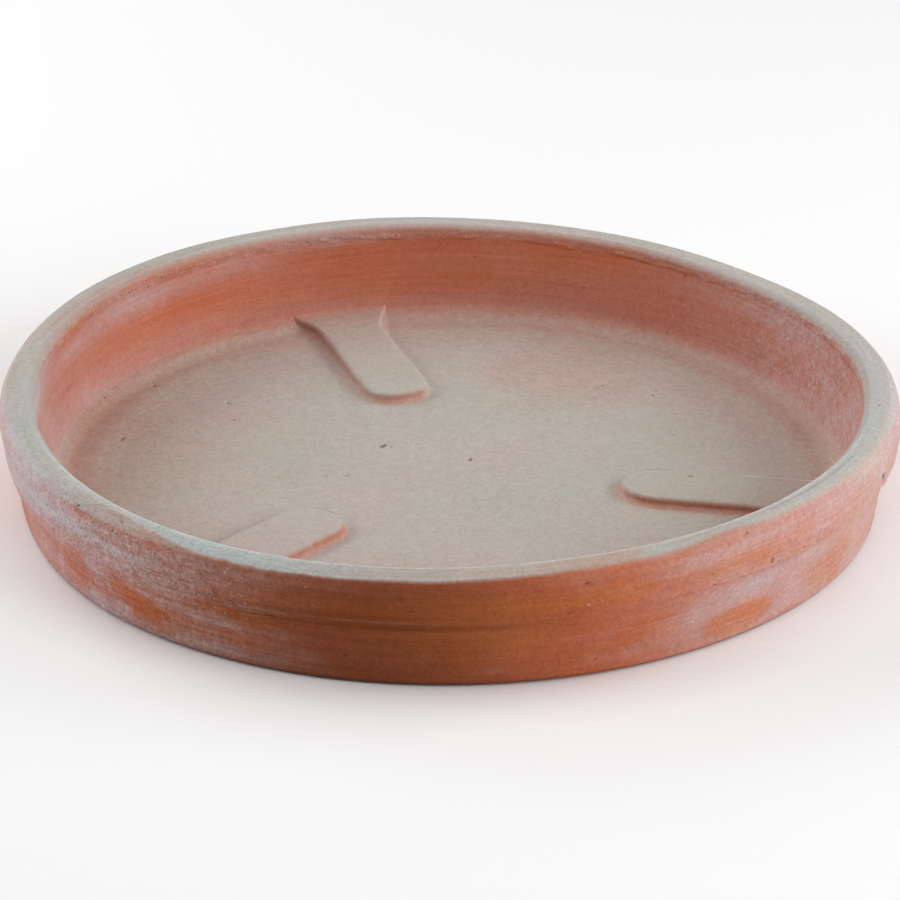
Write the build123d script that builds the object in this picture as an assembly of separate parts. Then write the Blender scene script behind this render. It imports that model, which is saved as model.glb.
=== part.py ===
from build123d import *
import math
import os

# Terracotta plant saucer: a shallow round tray of fired clay, made up of a floor slab,
# a side wall, a collar folded over the top of the wall, and three tongue-shaped pot rests.
# Millimetres. +Z is up, the origin is the middle of the underside, and one pot rest
# points along +Y with the other two about 120 degrees either side of it.

os.makedirs("parts", exist_ok=True)

# ---- driving dimensions -------------------------------------------------------------
RIM_R = 175.0            # outside radius over the collar, the widest point of the saucer
HEIGHT = 47.0            # from the surface it stands on to the top of the collar

FLOOR_T = 9.0            # thickness of the floor slab
FOOT_ROUND = 3.0         # rounding at the bottom outer edge
WALL_FOOT_R = 168.4      # outside of the wall just above the foot rounding
WALL_STEP_R = 172.2      # outside of the wall just under the collar
STEP_Z = 28.0            # height of the collar's lower lip
LIP_R = 174.4            # outside radius at the collar's lower lip
LIP_ROUND = 0.9          # rounding of the collar's lower lip

INNER_TOP_R = 161.2      # inside of the wall at the trimmed line under the collar
INNER_FLOOR_R = 153.6    # inside of the wall carried down to the floor's surface
CORNER_ROUND = 9.0       # hollow where the wall runs into the floor
TRIM_Z = 40.5            # height of the trimmed line on the inside
TRIM_CHAMFER = 0.7       # each side of the trimmed line is eased by this much

TENON_R = 167.2          # outside of the wall's upright edge, which the collar covers
TENON_TOP_R = 166.6      # the same at its top, a little tapered

SHOULDER_ROUND = 5.5     # outer shoulder of the collar
INNER_ROUND = 3.2        # inner edge of the collar
CROWN = 0.6              # how far the top of the collar falls towards the outside

LAP_R = 160.0            # the wall's foot laps over the slab's edge from here inwards
LAP_Z = 4.5              # height of that ledge

REST_TOP_Z = 13.5        # level that a pot stands on
REST_SEAT = 2.0          # depth that each rest is bedded into the floor
REST_TIP_ROUND = 9.0     # rounding of the corners at the inner end
REST_DRAFT = 16.0        # slope of a rest's sides, degrees from upright
REST_EDGE = 0.9          # rounding of a rest's top edge
REST_FLARE_R = 142.0     # from here outwards a rest widens into the wall
REST_FLARE = 6.0         # how much it widens on each side
REST_FLARE_ROUND = 14.0  # curve of that widening, seen from above
REST_ROOT_R = 158.0      # a rest is drawn out to here, then trimmed to the wall

# The rests are laid by hand, so they differ a little. For each one: direction in degrees,
# distance of its inner end from the middle, half its width at the top, and how far its
# centre line passes to the clockwise side of the middle.
RESTS = {
    "pot_rest_back": (90.0, 69.5, 12.3, 4.4),
    "pot_rest_left": (210.0, 63.5, 13.7, 6.0),
    "pot_rest_right": (330.0, 70.0, 13.2, 3.0),
}


# ---- helpers ------------------------------------------------------------------------
def rounded_profile(corners):
    """Closed face in the XZ plane through corners (r, z, rounding)."""
    n = len(corners)
    starts, ends, mids = [], [], []
    for i in range(n):
        px, pz, rad = corners[i]
        ax, az, _ = corners[i - 1]
        bx, bz, _ = corners[(i + 1) % n]
        ux, uz = ax - px, az - pz
        vx, vz = bx - px, bz - pz
        lu, lv = math.hypot(ux, uz), math.hypot(vx, vz)
        ux, uz, vx, vz = ux / lu, uz / lu, vx / lv, vz / lv
        if rad <= 0:
            starts.append((px, pz))
            ends.append((px, pz))
            mids.append(None)
            continue
        half = math.acos(max(-1.0, min(1.0, ux * vx + uz * vz))) / 2
        t = rad / math.tan(half)
        s = (px + ux * t, pz + uz * t)
        e = (px + vx * t, pz + vz * t)
        wx, wz = ux + vx, uz + vz
        lw = math.hypot(wx, wz)
        d = rad / math.sin(half)
        c = (px + wx / lw * d, pz + wz / lw * d)
        m = (c[0] - wx / lw * rad, c[1] - wz / lw * rad)
        starts.append(s)
        ends.append(e)
        mids.append(m)
    edges = []
    for i in range(n):
        if mids[i] is not None:
            s, m, e = starts[i], mids[i], ends[i]
            edges.append(ThreePointArc((s[0], 0, s[1]), (m[0], 0, m[1]), (e[0], 0, e[1])))
        a, b = ends[i], starts[(i + 1) % n]
        if math.hypot(a[0] - b[0], a[1] - b[1]) > 1e-6:
            edges.append(Line((a[0], 0, a[1]), (b[0], 0, b[1])))
    return Face(Wire(edges))


def ring(corners):
    """Solid of revolution about Z."""
    return Solid.revolve(rounded_profile(corners), 360.0, Axis.Z)


# ---- inside corner between wall and floor ---------------------------------------------
lean = math.atan2(INNER_TOP_R - INNER_FLOOR_R, TRIM_Z - FLOOR_T)
corner_reach = CORNER_ROUND / math.tan((math.pi / 2 + lean) / 2)
SLAB_TOP_R = INNER_FLOOR_R - corner_reach      # where the hollow runs out on the floor

# ---- side wall ------------------------------------------------------------------------
# A leaning ring. Its foot laps over the slab's edge, its upper half is a thinner upright
# edge that the collar is folded over.
side_wall = ring([
    (WALL_FOOT_R - 0.45, 0.0, FOOT_ROUND),
    (WALL_STEP_R, STEP_Z, 0.0),
    (TENON_R, STEP_Z, 0.0),
    (TENON_TOP_R, TRIM_Z, 0.0),
    (INNER_TOP_R + TRIM_CHAMFER, TRIM_Z, 0.0),
    (INNER_TOP_R - TRIM_CHAMFER * math.tan(lean), TRIM_Z - TRIM_CHAMFER, 0.0),
    (INNER_FLOOR_R, FLOOR_T, CORNER_ROUND),
    (SLAB_TOP_R, FLOOR_T, 0.0),
    (SLAB_TOP_R, LAP_Z, 0.0),
    (LAP_R, LAP_Z, 0.0),
    (LAP_R, 0.0, 0.0),
])

# ---- collar -----------------------------------------------------------------------------
# Inverted L in section: it caps the wall and hangs down outside it as far as the lip.
rim_band = ring([
    (LIP_R, STEP_Z, LIP_ROUND),
    (RIM_R, STEP_Z + 6.5, 12.0),
    (RIM_R, HEIGHT - CROWN - 0.4, SHOULDER_ROUND),
    (INNER_TOP_R + 6.0, HEIGHT, 6.0),
    (INNER_TOP_R + 0.7, HEIGHT - 0.25, INNER_ROUND),
    (INNER_TOP_R + TRIM_CHAMFER * math.tan(lean), TRIM_Z + TRIM_CHAMFER, 0.0),
    (INNER_TOP_R + TRIM_CHAMFER, TRIM_Z, 0.0),
    (TENON_TOP_R, TRIM_Z, 0.0),
    (TENON_R, STEP_Z, 0.0),
])

# ---- pot rests --------------------------------------------------------------------------
# Each is a flat tongue with sloping sides, bedded a little into the floor. Its outer end
# widens and stops against the hollow at the foot of the wall.
def pot_rest(direction, tip_r, half_w, shift):
    depth = REST_TOP_Z - (FLOOR_T - REST_SEAT)
    spread = depth * math.tan(math.radians(REST_DRAFT))
    w0 = half_w + spread
    w1 = w0 + REST_FLARE
    tip = tip_r - spread
    with BuildPart() as builder:
        with BuildSketch(Plane.XY.offset(FLOOR_T - REST_SEAT)) as outline:
            with BuildLine():
                Polyline(
                    (w0, tip), (w0, REST_FLARE_R), (w1, REST_ROOT_R - 4.0), (w1, REST_ROOT_R),
                    (-w1, REST_ROOT_R), (-w1, REST_ROOT_R - 4.0), (-w0, REST_FLARE_R), (-w0, tip),
                    close=True,
                )
            make_face()
            tips = outline.vertices().filter_by(lambda v: v.Y < tip + 0.01)
            fillet(tips, REST_TIP_ROUND + spread)
            flares = outline.vertices().filter_by(lambda v: abs(v.Y - REST_FLARE_R) < 0.01)
            fillet(flares, REST_FLARE_ROUND)
        extrude(amount=depth, taper=REST_DRAFT)
        top = builder.faces().sort_by(Axis.Z)[-1]
        fillet([e for e in top.edges() if e.center().Y < REST_ROOT_R - 5.0], REST_EDGE)
    blank = Pos(shift, 0, 0) * builder.part.solids()[0]
    blank = Rot(0, 0, direction - 90.0) * blank
    return (blank - side_wall).solids().sort_by(SortBy.VOLUME)[-1]


rests = {name: pot_rest(*values) for name, values in RESTS.items()}

# ---- floor slab -------------------------------------------------------------------------
base_slab = ring([
    (0.0, 0.0, 0.0),
    (LAP_R, 0.0, 0.0),
    (LAP_R, LAP_Z, 0.0),
    (SLAB_TOP_R, LAP_Z, 0.0),
    (SLAB_TOP_R, FLOOR_T, 0.0),
    (0.0, FLOOR_T, 0.0),
])
for rest in rests.values():
    base_slab = base_slab - rest
base_slab = base_slab.solids().sort_by(SortBy.VOLUME)[-1]

# ---- write one file for each piece ------------------------------------------------------
pieces = {
    "base_slab": base_slab,
    "side_wall": side_wall,
    "rim_band": rim_band,
    **rests,
}
for name, solid in pieces.items():
    solid.label = name
    export_step(solid, f"parts/{name}.step")
    print(name, round(solid.volume / 1000.0, 2), "cm3", solid.is_valid)
print("hollow meets the floor at radius", round(SLAB_TOP_R, 3))
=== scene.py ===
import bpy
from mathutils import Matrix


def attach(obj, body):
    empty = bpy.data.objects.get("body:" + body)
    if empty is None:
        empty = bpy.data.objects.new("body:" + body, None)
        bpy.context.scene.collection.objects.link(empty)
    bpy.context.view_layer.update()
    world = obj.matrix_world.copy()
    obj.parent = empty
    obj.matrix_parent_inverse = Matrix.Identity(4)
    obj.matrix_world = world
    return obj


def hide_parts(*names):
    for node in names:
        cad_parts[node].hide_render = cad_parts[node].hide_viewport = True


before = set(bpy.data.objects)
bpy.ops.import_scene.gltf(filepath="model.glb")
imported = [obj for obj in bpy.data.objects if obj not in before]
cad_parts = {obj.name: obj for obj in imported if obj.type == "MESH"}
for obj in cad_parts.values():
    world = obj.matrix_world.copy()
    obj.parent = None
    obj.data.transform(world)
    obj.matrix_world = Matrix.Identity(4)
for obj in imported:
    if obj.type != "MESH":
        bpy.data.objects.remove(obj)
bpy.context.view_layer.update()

# Terracotta plant saucer: looks. Every clay piece is a closed mesh shaped here, in the frame
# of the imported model. Lengths below are in millimetres until a mesh is written.
import math

import bpy
import numpy as np

MM = 0.001
VIEW_TURN = math.radians(19.0)   # the viewing direction's turn about Z

# ---- sizes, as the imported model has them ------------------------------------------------
RIM_R, HEIGHT, FLOOR_T = 175.0, 47.0, 9.0
FOOT_ROUND, WALL_FOOT_R, WALL_STEP_R, STEP_Z = 3.0, 168.4, 172.2, 28.0
LIP_R, LIP_ROUND = 174.4, 0.9
INNER_TOP_R, INNER_FLOOR_R, CORNER_ROUND = 161.2, 153.6, 9.0
TRIM_Z, TRIM_CHAMFER = 40.5, 0.7
TENON_R, TENON_TOP_R = 167.2, 166.6
LAP_R, LAP_Z = 160.0, 4.5
LEAN = math.atan2(INNER_TOP_R - INNER_FLOOR_R, TRIM_Z - FLOOR_T)
SLAB_R = INNER_FLOOR_R - CORNER_ROUND / math.tan((math.pi / 2 + LEAN) / 2)
REST_H = 3.9
# direction, inner end, half width at the top, sideways shift, where each side starts to widen
RESTS = {
    "pot_rest_back": (90.0, 69.5, 12.3, 4.4, 128.0, 138.0),
    "pot_rest_left": (210.0, 63.5, 13.7, 6.0, 134.0, 136.0),
    "pot_rest_right": (330.0, 70.0, 13.2, 3.0, 135.0, 137.0),
}


# along each rest's clockwise side, its inner end and its other side: how bare the clay of the side is,
# how bare the floor is beside it, how far the foot is rolled outwards, and how deep a line is scored on the edge
BARE = {"pot_rest_back": (0.1, 0.8, 0.28), "pot_rest_left": (0.3, 0.12, 0.95), "pot_rest_right": (1.0, 0.5, 0.1)}
BESIDE = {"pot_rest_back": (0.05, 0.3, 0.55), "pot_rest_left": (0.1, 0.2, 0.35), "pot_rest_right": (0.6, 0.5, 0.1)}
ROLLED = {"pot_rest_back": (0.0, 0.6, 0.0), "pot_rest_left": (0.0, 0.0, 0.25), "pot_rest_right": (0.0, 0.0, 0.0)}
SCORED = {"pot_rest_back": (0.0, 0.0, 0.0), "pot_rest_left": (1.0, 1.0, 0.0), "pot_rest_right": (0.0, 0.55, 1.0)}
# the same for how far the bare clay spreads on to the floor, and how much painted shade lies under the top edge
HALO = {"pot_rest_back": (0.0, 0.25, 0.12), "pot_rest_left": (0.0, 0.10, 0.30), "pot_rest_right": (0.42, 0.26, 0.0)}
SHADE_UNDER_EDGE = {"pot_rest_back": (0.0, 0.20, 0.18), "pot_rest_left": (0.0, 0.0, 0.10), "pot_rest_right": (0.50, 0.10, 0.0)}
TIPS = {"pot_rest_back": (12.0, 2.2), "pot_rest_left": (14.0, 2.1), "pot_rest_right": (17.0, 2.0)}   # length and fullness of the end


# ---- smooth noise -----------------------------------------------------------------------
_tables = {}


def noise(x, y, z, seed=0):
    """Smooth gradient noise, about -1 to 1, the same each run."""
    if seed not in _tables:
        rng = np.random.RandomState(1000 + seed)
        grad = rng.normal(size=(256, 3))
        _tables[seed] = rng.permutation(256), grad / np.linalg.norm(grad, axis=1)[:, None]
    perm, grad = _tables[seed]
    x, y, z = np.broadcast_arrays(np.asarray(x, float), np.asarray(y, float), np.asarray(z, float))
    xi, yi, zi = (np.floor(v).astype(np.int64) for v in (x, y, z))
    fx, fy, fz = x - xi, y - yi, z - zi
    u, v, w = (f * f * f * (f * (f * 6 - 15) + 10) for f in (fx, fy, fz))
    total = np.zeros(x.shape)
    for i in (0, 1):
        for j in (0, 1):
            for k in (0, 1):
                h = perm[(perm[(perm[(xi + i) & 255] + yi + j) & 255] + zi + k) & 255]
                g = grad[h]
                dot = g[..., 0] * (fx - i) + g[..., 1] * (fy - j) + g[..., 2] * (fz - k)
                total += dot * (u if i else 1 - u) * (v if j else 1 - v) * (w if k else 1 - w)
    return total * 1.7


def step(a, b, x):
    t = np.clip((np.asarray(x, float) - a) / (b - a), 0, 1)
    return t * t * (3 - 2 * t)


def turn_gap(th, deg):
    """Signed angle in degrees from deg to th."""
    return (np.degrees(th) - deg + 180.0) % 360.0 - 180.0


def warp(p):
    """The fired rim isn't quite level: it rises at two opposite sides and dips between."""
    c, s = math.cos(VIEW_TURN), math.sin(VIEW_TURN)
    x = p[..., 0] * c - p[..., 1] * s
    y = p[..., 0] * s + p[..., 1] * c
    q = np.array(p, float)
    th, k = np.arctan2(p[..., 1], p[..., 0]), (p[..., 0] ** 2 + p[..., 1] ** 2) / RIM_R**2
    dip = -2.2 * (2 * x * y / RIM_R**2) + k * (0.45 * about(th, 131, 22) - 1.05 * about(th, 24.5, 15))
    q[..., 2] += dip * (p[..., 2] / HEIGHT)
    return q


def inside_height(r):
    """Height of the inside surface at radius r: floor, hollow corner, leaning wall."""
    top_of_corner = SLAB_R + CORNER_ROUND * math.cos(LEAN)
    arc = FLOOR_T + CORNER_ROUND - np.sqrt(np.maximum(CORNER_ROUND**2 - np.maximum(r - SLAB_R, 0) ** 2, 1e-9))
    wall = FLOOR_T + (r - INNER_FLOOR_R) / math.tan(LEAN)
    return np.where(r <= SLAB_R, FLOOR_T, np.where(r <= top_of_corner, arc, wall))


# ---- outlines of the rests, on the floor --------------------------------------------------
SIDE_SPREAD = 1.0
ROOT_END = 154.6


def row_line(q, a, shift):
    """Distance along a rest's axis of the row q, at a across: straight rows bend into the wall's curve."""
    m = step(122.0, 146.0, q)
    return (1 - m) * q + m * np.sqrt(np.maximum((q + 1.6) ** 2 - (a + shift) ** 2, 1.0))


def rest_rows(name):
    """(points on the outline, matching points on the centre line), in the rest's own axes: across, along."""
    _, tip, half, shift, wide_a, wide_b = RESTS[name]
    w = half + SIDE_SPREAD
    length, fullness = TIPS[name]
    y0 = tip - SIDE_SPREAD + length
    q = np.concatenate([np.arange(y0, 140.0, 0.8), np.arange(140.0, ROOT_END, 0.42), [ROOT_END]])
    wa = w + 8.5 * np.clip((q - wide_a) / (ROOT_END - wide_a), 0, 1) ** 2.2
    wb = w + 8.5 * np.clip((q - wide_b) / (ROOT_END - wide_b), 0, 1) ** 2.2
    side_a = np.c_[wa, row_line(q, wa, shift)][::-1]
    side_b = np.c_[-wb, row_line(q, -wb, shift)]
    mid = np.c_[np.zeros_like(q), row_line(q, 0.0, shift)]
    phi = np.linspace(0, math.pi, 66)[1:-1]
    c, s = np.cos(phi), np.sin(phi)
    tip_arc = np.c_[w * np.sign(c) * np.abs(c) ** (2 / fullness), y0 - length * s ** (2 / fullness)]
    outline = np.concatenate([side_a, tip_arc, side_b])
    centre = np.concatenate([mid[::-1], np.repeat(mid[:1], len(tip_arc), 0), mid])
    return outline, centre


def round_rest(across, w, values):
    """Blends values for the clockwise side, the inner end and the other side over the position across."""
    u = np.clip(across / w, -1, 1)
    end = 1 - step(0.55, 0.97, np.abs(u))
    return values[1] * end + (1 - end) * np.where(u > 0, values[0], values[2])


def to_plan(name, ay):
    """A rest's own (across, along) to plan x, y."""
    direction, _, _, shift, _, _ = RESTS[name]
    t = math.radians(direction)
    a, y = ay[..., 0] + shift, ay[..., 1]
    return np.stack([y * math.cos(t) + a * math.sin(t), y * math.sin(t) - a * math.cos(t)], -1)


OUTLINES = {n: to_plan(n, rest_rows(n)[0]) for n in RESTS}


def outline_distance(x, y, name):
    """Distance to a rest's outline, positive inside. The outline is closed beyond the wall."""
    pts = OUTLINES[name]
    t = math.radians(RESTS[name][0])
    far = pts[[-1, 0]] + 12.0 * np.array([math.cos(t), math.sin(t)])
    loop = np.concatenate([pts, far])
    loop = loop[np.r_[np.arange(0, len(loop) - 2, 2), len(loop) - 2, len(loop) - 1]]
    shape = np.shape(x)
    p = np.c_[np.ravel(x), np.ravel(y)]
    best = np.full(len(p), 1e9)
    inside = np.zeros(len(p), bool)
    mid, reach = pts.mean(0), 95.0
    near = np.hypot(p[:, 0] - mid[0], p[:, 1] - mid[1]) < reach
    g = p[near]
    if len(g):
        bd, bi = np.full(len(g), 1e9), np.zeros(len(g), bool)
        for a, b in zip(loop, np.roll(loop, -1, 0)):
            e = b - a
            k = np.clip(((g - a) @ e) / max(e @ e, 1e-12), 0, 1)
            bd = np.minimum(bd, ((g - a - k[:, None] * e) ** 2).sum(1))
            cross = (a[1] > g[:, 1]) != (b[1] > g[:, 1])
            with np.errstate(divide="ignore", invalid="ignore"):
                bi ^= cross & (g[:, 0] < (b[0] - a[0]) * (g[:, 1] - a[1]) / (b[1] - a[1]) + a[0])
        best[near] = np.sqrt(bd)
        inside[near] = bi
    return np.where(inside, best, -best).reshape(shape)


# ---- relief of each surface --------------------------------------------------------------
def dents(x, y, marks):
    """Sum of small dents: x, y, length, width, turn in degrees, depth."""
    total = np.zeros(np.shape(x))
    for mx, my, length, width, turn, depth in marks:
        c, s = math.cos(math.radians(turn)), math.sin(math.radians(turn))
        u, v = (x - mx) * c + (y - my) * s, -(x - mx) * s + (y - my) * c
        total += depth * np.exp(-((u / length) ** 2 + (v / width) ** 2))
    return total


_rng = np.random.RandomState(7)
FLOOR_PITS = [(-113.3, 70.7, 2.6, 0.9, 62.0, -0.55), (-86.8, 116.4, 1.2, 1.0, 0.0, -0.7), (-63.2, 90.4, 1.5, 0.8, 75.0, -0.5),
              (-47.2, 12.1, 2.6, 0.9, -18.0, -0.4), (-39.0, 9.3, 1.6, 0.9, -10.0, -0.4), (-58.5, -51.7, 1.6, 1.3, 0.0, 0.35),
              (-112.7, 49.5, 1.3, 1.0, 0.0, 0.3), (-108.0, 47.0, 1.2, 0.9, 0.0, 0.3), (34.0, -30.0, 1.6, 1.0, 30.0, -0.35),
              (-16.8, 31.4, 2.0, 1.1, 40.0, -0.75), (-14.2, 29.8, 1.1, 0.9, 0.0, -0.5), (11.6, 7.4, 2.2, 0.9, 62.0, -0.55),
              (85.2, -43.3, 1.9, 0.9, -15.0, -0.5)]
for _ in range(70):
    _r, _t = 140.0 * math.sqrt(_rng.rand()), 2 * math.pi * _rng.rand()
    FLOOR_PITS.append((_r * math.cos(_t), _r * math.sin(_t), 0.8 + 0.9 * _rng.rand(), 0.7 + 0.5 * _rng.rand(),
                       360 * _rng.rand(), (-1 if _rng.rand() < 0.55 else 0.7) * (0.14 + 0.26 * _rng.rand())))


def floor_relief(x, y, rest_gap):
    """Height of the floor over its flat level. rest_gap is the distance outside the nearest rest."""
    r = np.hypot(x, y)
    z = 0.26 * noise(x / 58, y / 58, 0.3, 1) + 0.10 * noise(x / 21, y / 21, 5.1, 2)
    z += 0.018 * noise(x / 70, y / 70, r / 2.6, 3) + 0.05 * noise(x / 6.5, y / 6.5, 2.2, 4)
    z += 0.045 * noise(x / 2.6, y / 2.6, 0.7, 5)
    z -= 0.42 * np.exp(-((np.maximum(rest_gap, 0) / 5.0) ** 2))
    return z + dents(x, y, FLOOR_PITS)


def rest_gap(x, y):
    return np.min([-outline_distance(x, y, n) for n in RESTS], axis=0)


def wall_turning(th, z, r, seed):
    """Turning lines and unevenness of an upright clay face."""
    c, s = np.cos(th), np.sin(th)
    out = 0.22 * noise(c * r / 62, s * r / 62, z / 14, seed)
    out += 0.13 * noise(c * 2.4, s * 2.4, z / 1.9, seed + 1) + 0.07 * noise(c * 6, s * 6, z / 1.0, seed + 2)
    out += 0.06 * noise(c * r / 3.2, s * r / 3.2, z / 2.2, seed + 3) + 0.035 * noise(c * r / 1.7, s * r / 1.7, z / 1.4, seed + 4)
    return out


def overhang(th):
    """How far the collar's lip stands out over the wall, round the saucer."""
    o = 0.8 + 2.8 * np.exp(-((turn_gap(th, 331.0) / 29.0) ** 2))
    o -= 0.65 * np.exp(-((turn_gap(th, 188.0) / 30.0) ** 2))
    o += 0.9 * np.exp(-((turn_gap(th, 75.0) / 60.0) ** 2))
    return o + 0.12 * noise(np.cos(th) * 4, np.sin(th) * 4, 0.2, 11)


def wall_top(o):
    """Outside radius of the wall under a lip that stands out by o."""
    return WALL_STEP_R + (2.2 - o) * np.where(o < 2.2, 0.65, 1.0)


def foot_in(th):
    """How far the wall's foot stands in."""
    return 0.6 * about(th, 335, 16) + 0.9 * about(th, 285, 28) + 1.4 * about(th, 178, 18)


def smear(th):
    """How far the clay is smeared up under the lip, as a share of the overhang."""
    c, s = np.cos(th), np.sin(th)
    return np.clip(0.40 + 0.52 * np.clip(1.25 * about(th, 312, 46), 0, 1) + 0.10 * noise(c * 22, s * 22, 0.7, 28), 0.1, 0.97)


def lip_drop(th):
    return 1.2 * about(th, 326, 26)


def worn_back(th):
    """How far the collar's inner edge is worn back, along the front."""
    return np.interp(np.degrees(th) % 360.0, [200.0, 228.0, 266.0, 284.0, 300.0, 316.0, 336.0], [0.0, 0.6, 0.9, 1.7, 2.0, 1.8, 0.0])


OUTER_PITS = [  # angle, height, radius along, radius up, depth
    (238.1, 12.0, 1.1, 0.9, -0.8), (267.5, 41.0, 1.0, 0.8, -0.7), (294.5, 30.6, 1.0, 0.8, -0.7), (301.0, 31.5, 1.8, 0.6, -0.5),
    (233.8, 42.2, 1.3, 1.0, 0.45), (243.6, 31.6, 1.6, 1.0, 0.4), (244.5, 31.2, 1.2, 0.8, 0.45), (252.3, 29.6, 1.5, 0.9, 0.45),
    (250.9, 29.9, 0.9, 0.6, 0.35), (255.9, 34.8, 1.3, 0.9, 0.4), (257.6, 35.7, 1.5, 0.9, 0.4), (322.2, 31.0, 1.7, 2.2, -1.4),
    (226.6, 37.0, 1.2, 0.9, 0.4), (224.5, 38.5, 0.9, 0.7, 0.35), (222.0, 36.0, 1.0, 0.7, 0.3), (262.0, 39.5, 0.9, 0.8, 0.25),
    (271.0, 36.0, 0.8, 0.7, -0.5), (281.0, 27.0, 1.2, 0.5, -0.4), (313.0, 29.8, 1.6, 0.5, -0.45),
    (228.8, 26.2, 3.4, 0.5, -0.7), (232.6, 26.6, 2.0, 0.5, -0.45), (284.2, 28.9, 1.3, 0.6, 0.5), (285.1, 28.5, 1.2, 0.6, -0.7), (294.4, 29.2, 1.1, 0.7, -0.7), (295.6, 28.5, 0.9, 0.6, -0.6), (297.5, 28.8, 1.4, 0.6, 0.5),
    (300.5, 29.0, 1.3, 0.6, -0.7), (301.8, 29.2, 1.2, 0.6, 0.5), (303.2, 28.8, 1.3, 0.6, -0.7), (306.0, 28.9, 1.2, 0.6, -0.6), (308.5, 28.6, 1.2, 0.6, 0.4),
    (243.4, 15.0, 1.2, 0.8, 0.35), (247.5, 43.2, 1.2, 0.8, 0.45), (275.7, 37.0, 1.1, 0.8, 0.35), (268.2, 32.6, 1.8, 1.1, 0.30), (265.5, 29.4, 1.5, 0.8, -0.5)]
for _ in range(190):
    OUTER_PITS.append((360 * _rng.rand(), 3.0 + 41.0 * _rng.rand(), 0.7 + 0.8 * _rng.rand(), 0.6 + 0.4 * _rng.rand(),
                       (-1 if _rng.rand() < 0.5 else 1) * (0.08 + 0.22 * _rng.rand() ** 2)))
RIM_PITS = [(333.7, 167.7, 0.9, 0.9, -0.7), (324.7, 164.6, 0.9, 0.9, -0.6), (197.9, 172.7, 1.1, 0.9, -0.7), (206.0, 170.9, 1.1, 0.8, -0.6),
            (252.0, 171.0, 1.0, 0.8, 0.3), (258.0, 168.0, 0.9, 0.8, -0.4), (341.0, 170.0, 0.8, 0.8, -0.5), (223.0, 172.9, 1.3, 0.9, 0.35),
            (226.0, 172.7, 1.6, 0.8, 0.35), (229.5, 173.0, 1.3, 0.8, 0.35), (233.0, 172.8, 1.1, 0.8, 0.3), (272.0, 171.6, 1.2, 1.0, -0.45)]
INNER_SPECKS = []
for _ in range(210):
    _t = -8 + 148 * _rng.rand() if _rng.rand() < 0.85 else 140 + 20 * _rng.rand()
    INNER_SPECKS.append((_t, 41.0 + 3.4 * _rng.rand(), 0.8 + 1.2 * _rng.rand(), 0.5 + 0.3 * _rng.rand(), 0.15 + 0.25 * _rng.rand()))
for _ in range(30):
    INNER_SPECKS.append((360 * _rng.rand(), 16.0 + 22 * _rng.rand(), 0.7 + 0.6 * _rng.rand(), 0.6 + 0.3 * _rng.rand(),
                         (-1 if _rng.rand() < 0.6 else 1) * (0.12 + 0.2 * _rng.rand())))


def pits_on_ring(th, z, r, marks):
    total = np.zeros(np.shape(th))
    for deg, h, along, high, depth in marks:
        g = turn_gap(th, deg) * math.pi / 180 * r
        near = (np.abs(g) < 3 * along) & (np.abs(z - h) < 3 * high)
        if near.any():
            total[near] += depth * np.exp(-((g[near] / along) ** 2) - ((z[near] - h) / high) ** 2)
    return total


# ---- rings --------------------------------------------------------------------------------
def ring_profile(corners):
    """Samples a closed section. corners: r, z, rounding, spacing on its rounding, spacing on the line after it, mark.
    Returns the samples, their outward directions and their marks."""
    n = len(corners)
    ends = []
    for i in range(n):
        p = np.array(corners[i][:2])
        a, b = np.array(corners[i - 1][:2]) - p, np.array(corners[(i + 1) % n][:2]) - p
        a, b = a / np.linalg.norm(a), b / np.linalg.norm(b)
        rad = corners[i][2]
        if rad <= 0:
            ends.append((p, p, None, 0.0))
            continue
        half = math.acos(float(np.clip(a @ b, -1, 1))) / 2
        t = rad / math.tan(half)
        m = (a + b) / np.linalg.norm(a + b)
        ends.append((p + a * t, p + b * t, p + m * rad / math.sin(half), rad))
    pts, marks = [], []
    for i in range(n):
        s, e, c, rad = ends[i]
        mark = corners[i][5]
        if c is not None:
            a0 = math.atan2(*(s - c)[::-1])
            a1 = math.atan2(*(e - c)[::-1])
            sweep = (a1 - a0 + math.pi) % (2 * math.pi) - math.pi
            k = max(2, math.ceil(abs(sweep) * rad / corners[i][3]))
            for j in range(k):
                a = a0 + sweep * j / k
                pts.append(c + rad * np.array([math.cos(a), math.sin(a)]))
                marks.append(mark)
        nxt = ends[(i + 1) % n][0]
        length = np.linalg.norm(nxt - e)
        if length > 1e-6:
            k = max(1, math.ceil(length / corners[i][4]))
            for j in range(k):
                pts.append(e + (nxt - e) * j / k)
                marks.append(mark)
    pts = np.array(pts)
    t = np.roll(pts, -1, 0) - np.roll(pts, 1, 0)
    t /= np.linalg.norm(t, axis=1)[:, None]
    area = np.sum(pts[:, 0] * np.roll(pts[:, 1], -1) - np.roll(pts[:, 0], -1) * pts[:, 1])
    out = np.c_[t[:, 1], -t[:, 0]] * (1 if area > 0 else -1)
    return pts, out, np.array(marks)


def write_mesh(name, verts, faces, uvs, masks):
    """One closed clay piece: vertices in millimetres, quads and triangles, a UV map and its finish masks."""
    me = bpy.data.meshes.new(name)
    me.from_pydata((warp(verts) * MM).tolist(), [], faces)
    me.validate()
    me.polygons.foreach_set("use_smooth", np.ones(len(me.polygons), bool))
    me.set_sharp_from_angle(angle=math.radians(52))
    layer = me.uv_layers.new(name="OFBake")
    layer.data.foreach_set("uv", np.asarray(uvs, np.float32).ravel())
    for key, values in masks.items():
        at = me.attributes.new(key, "FLOAT", "POINT")
        at.data.foreach_set("value", np.asarray(values, np.float32).ravel())
    ob = bpy.data.objects.new(name, me)
    bpy.context.scene.collection.objects.link(ob)
    return ob


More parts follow.
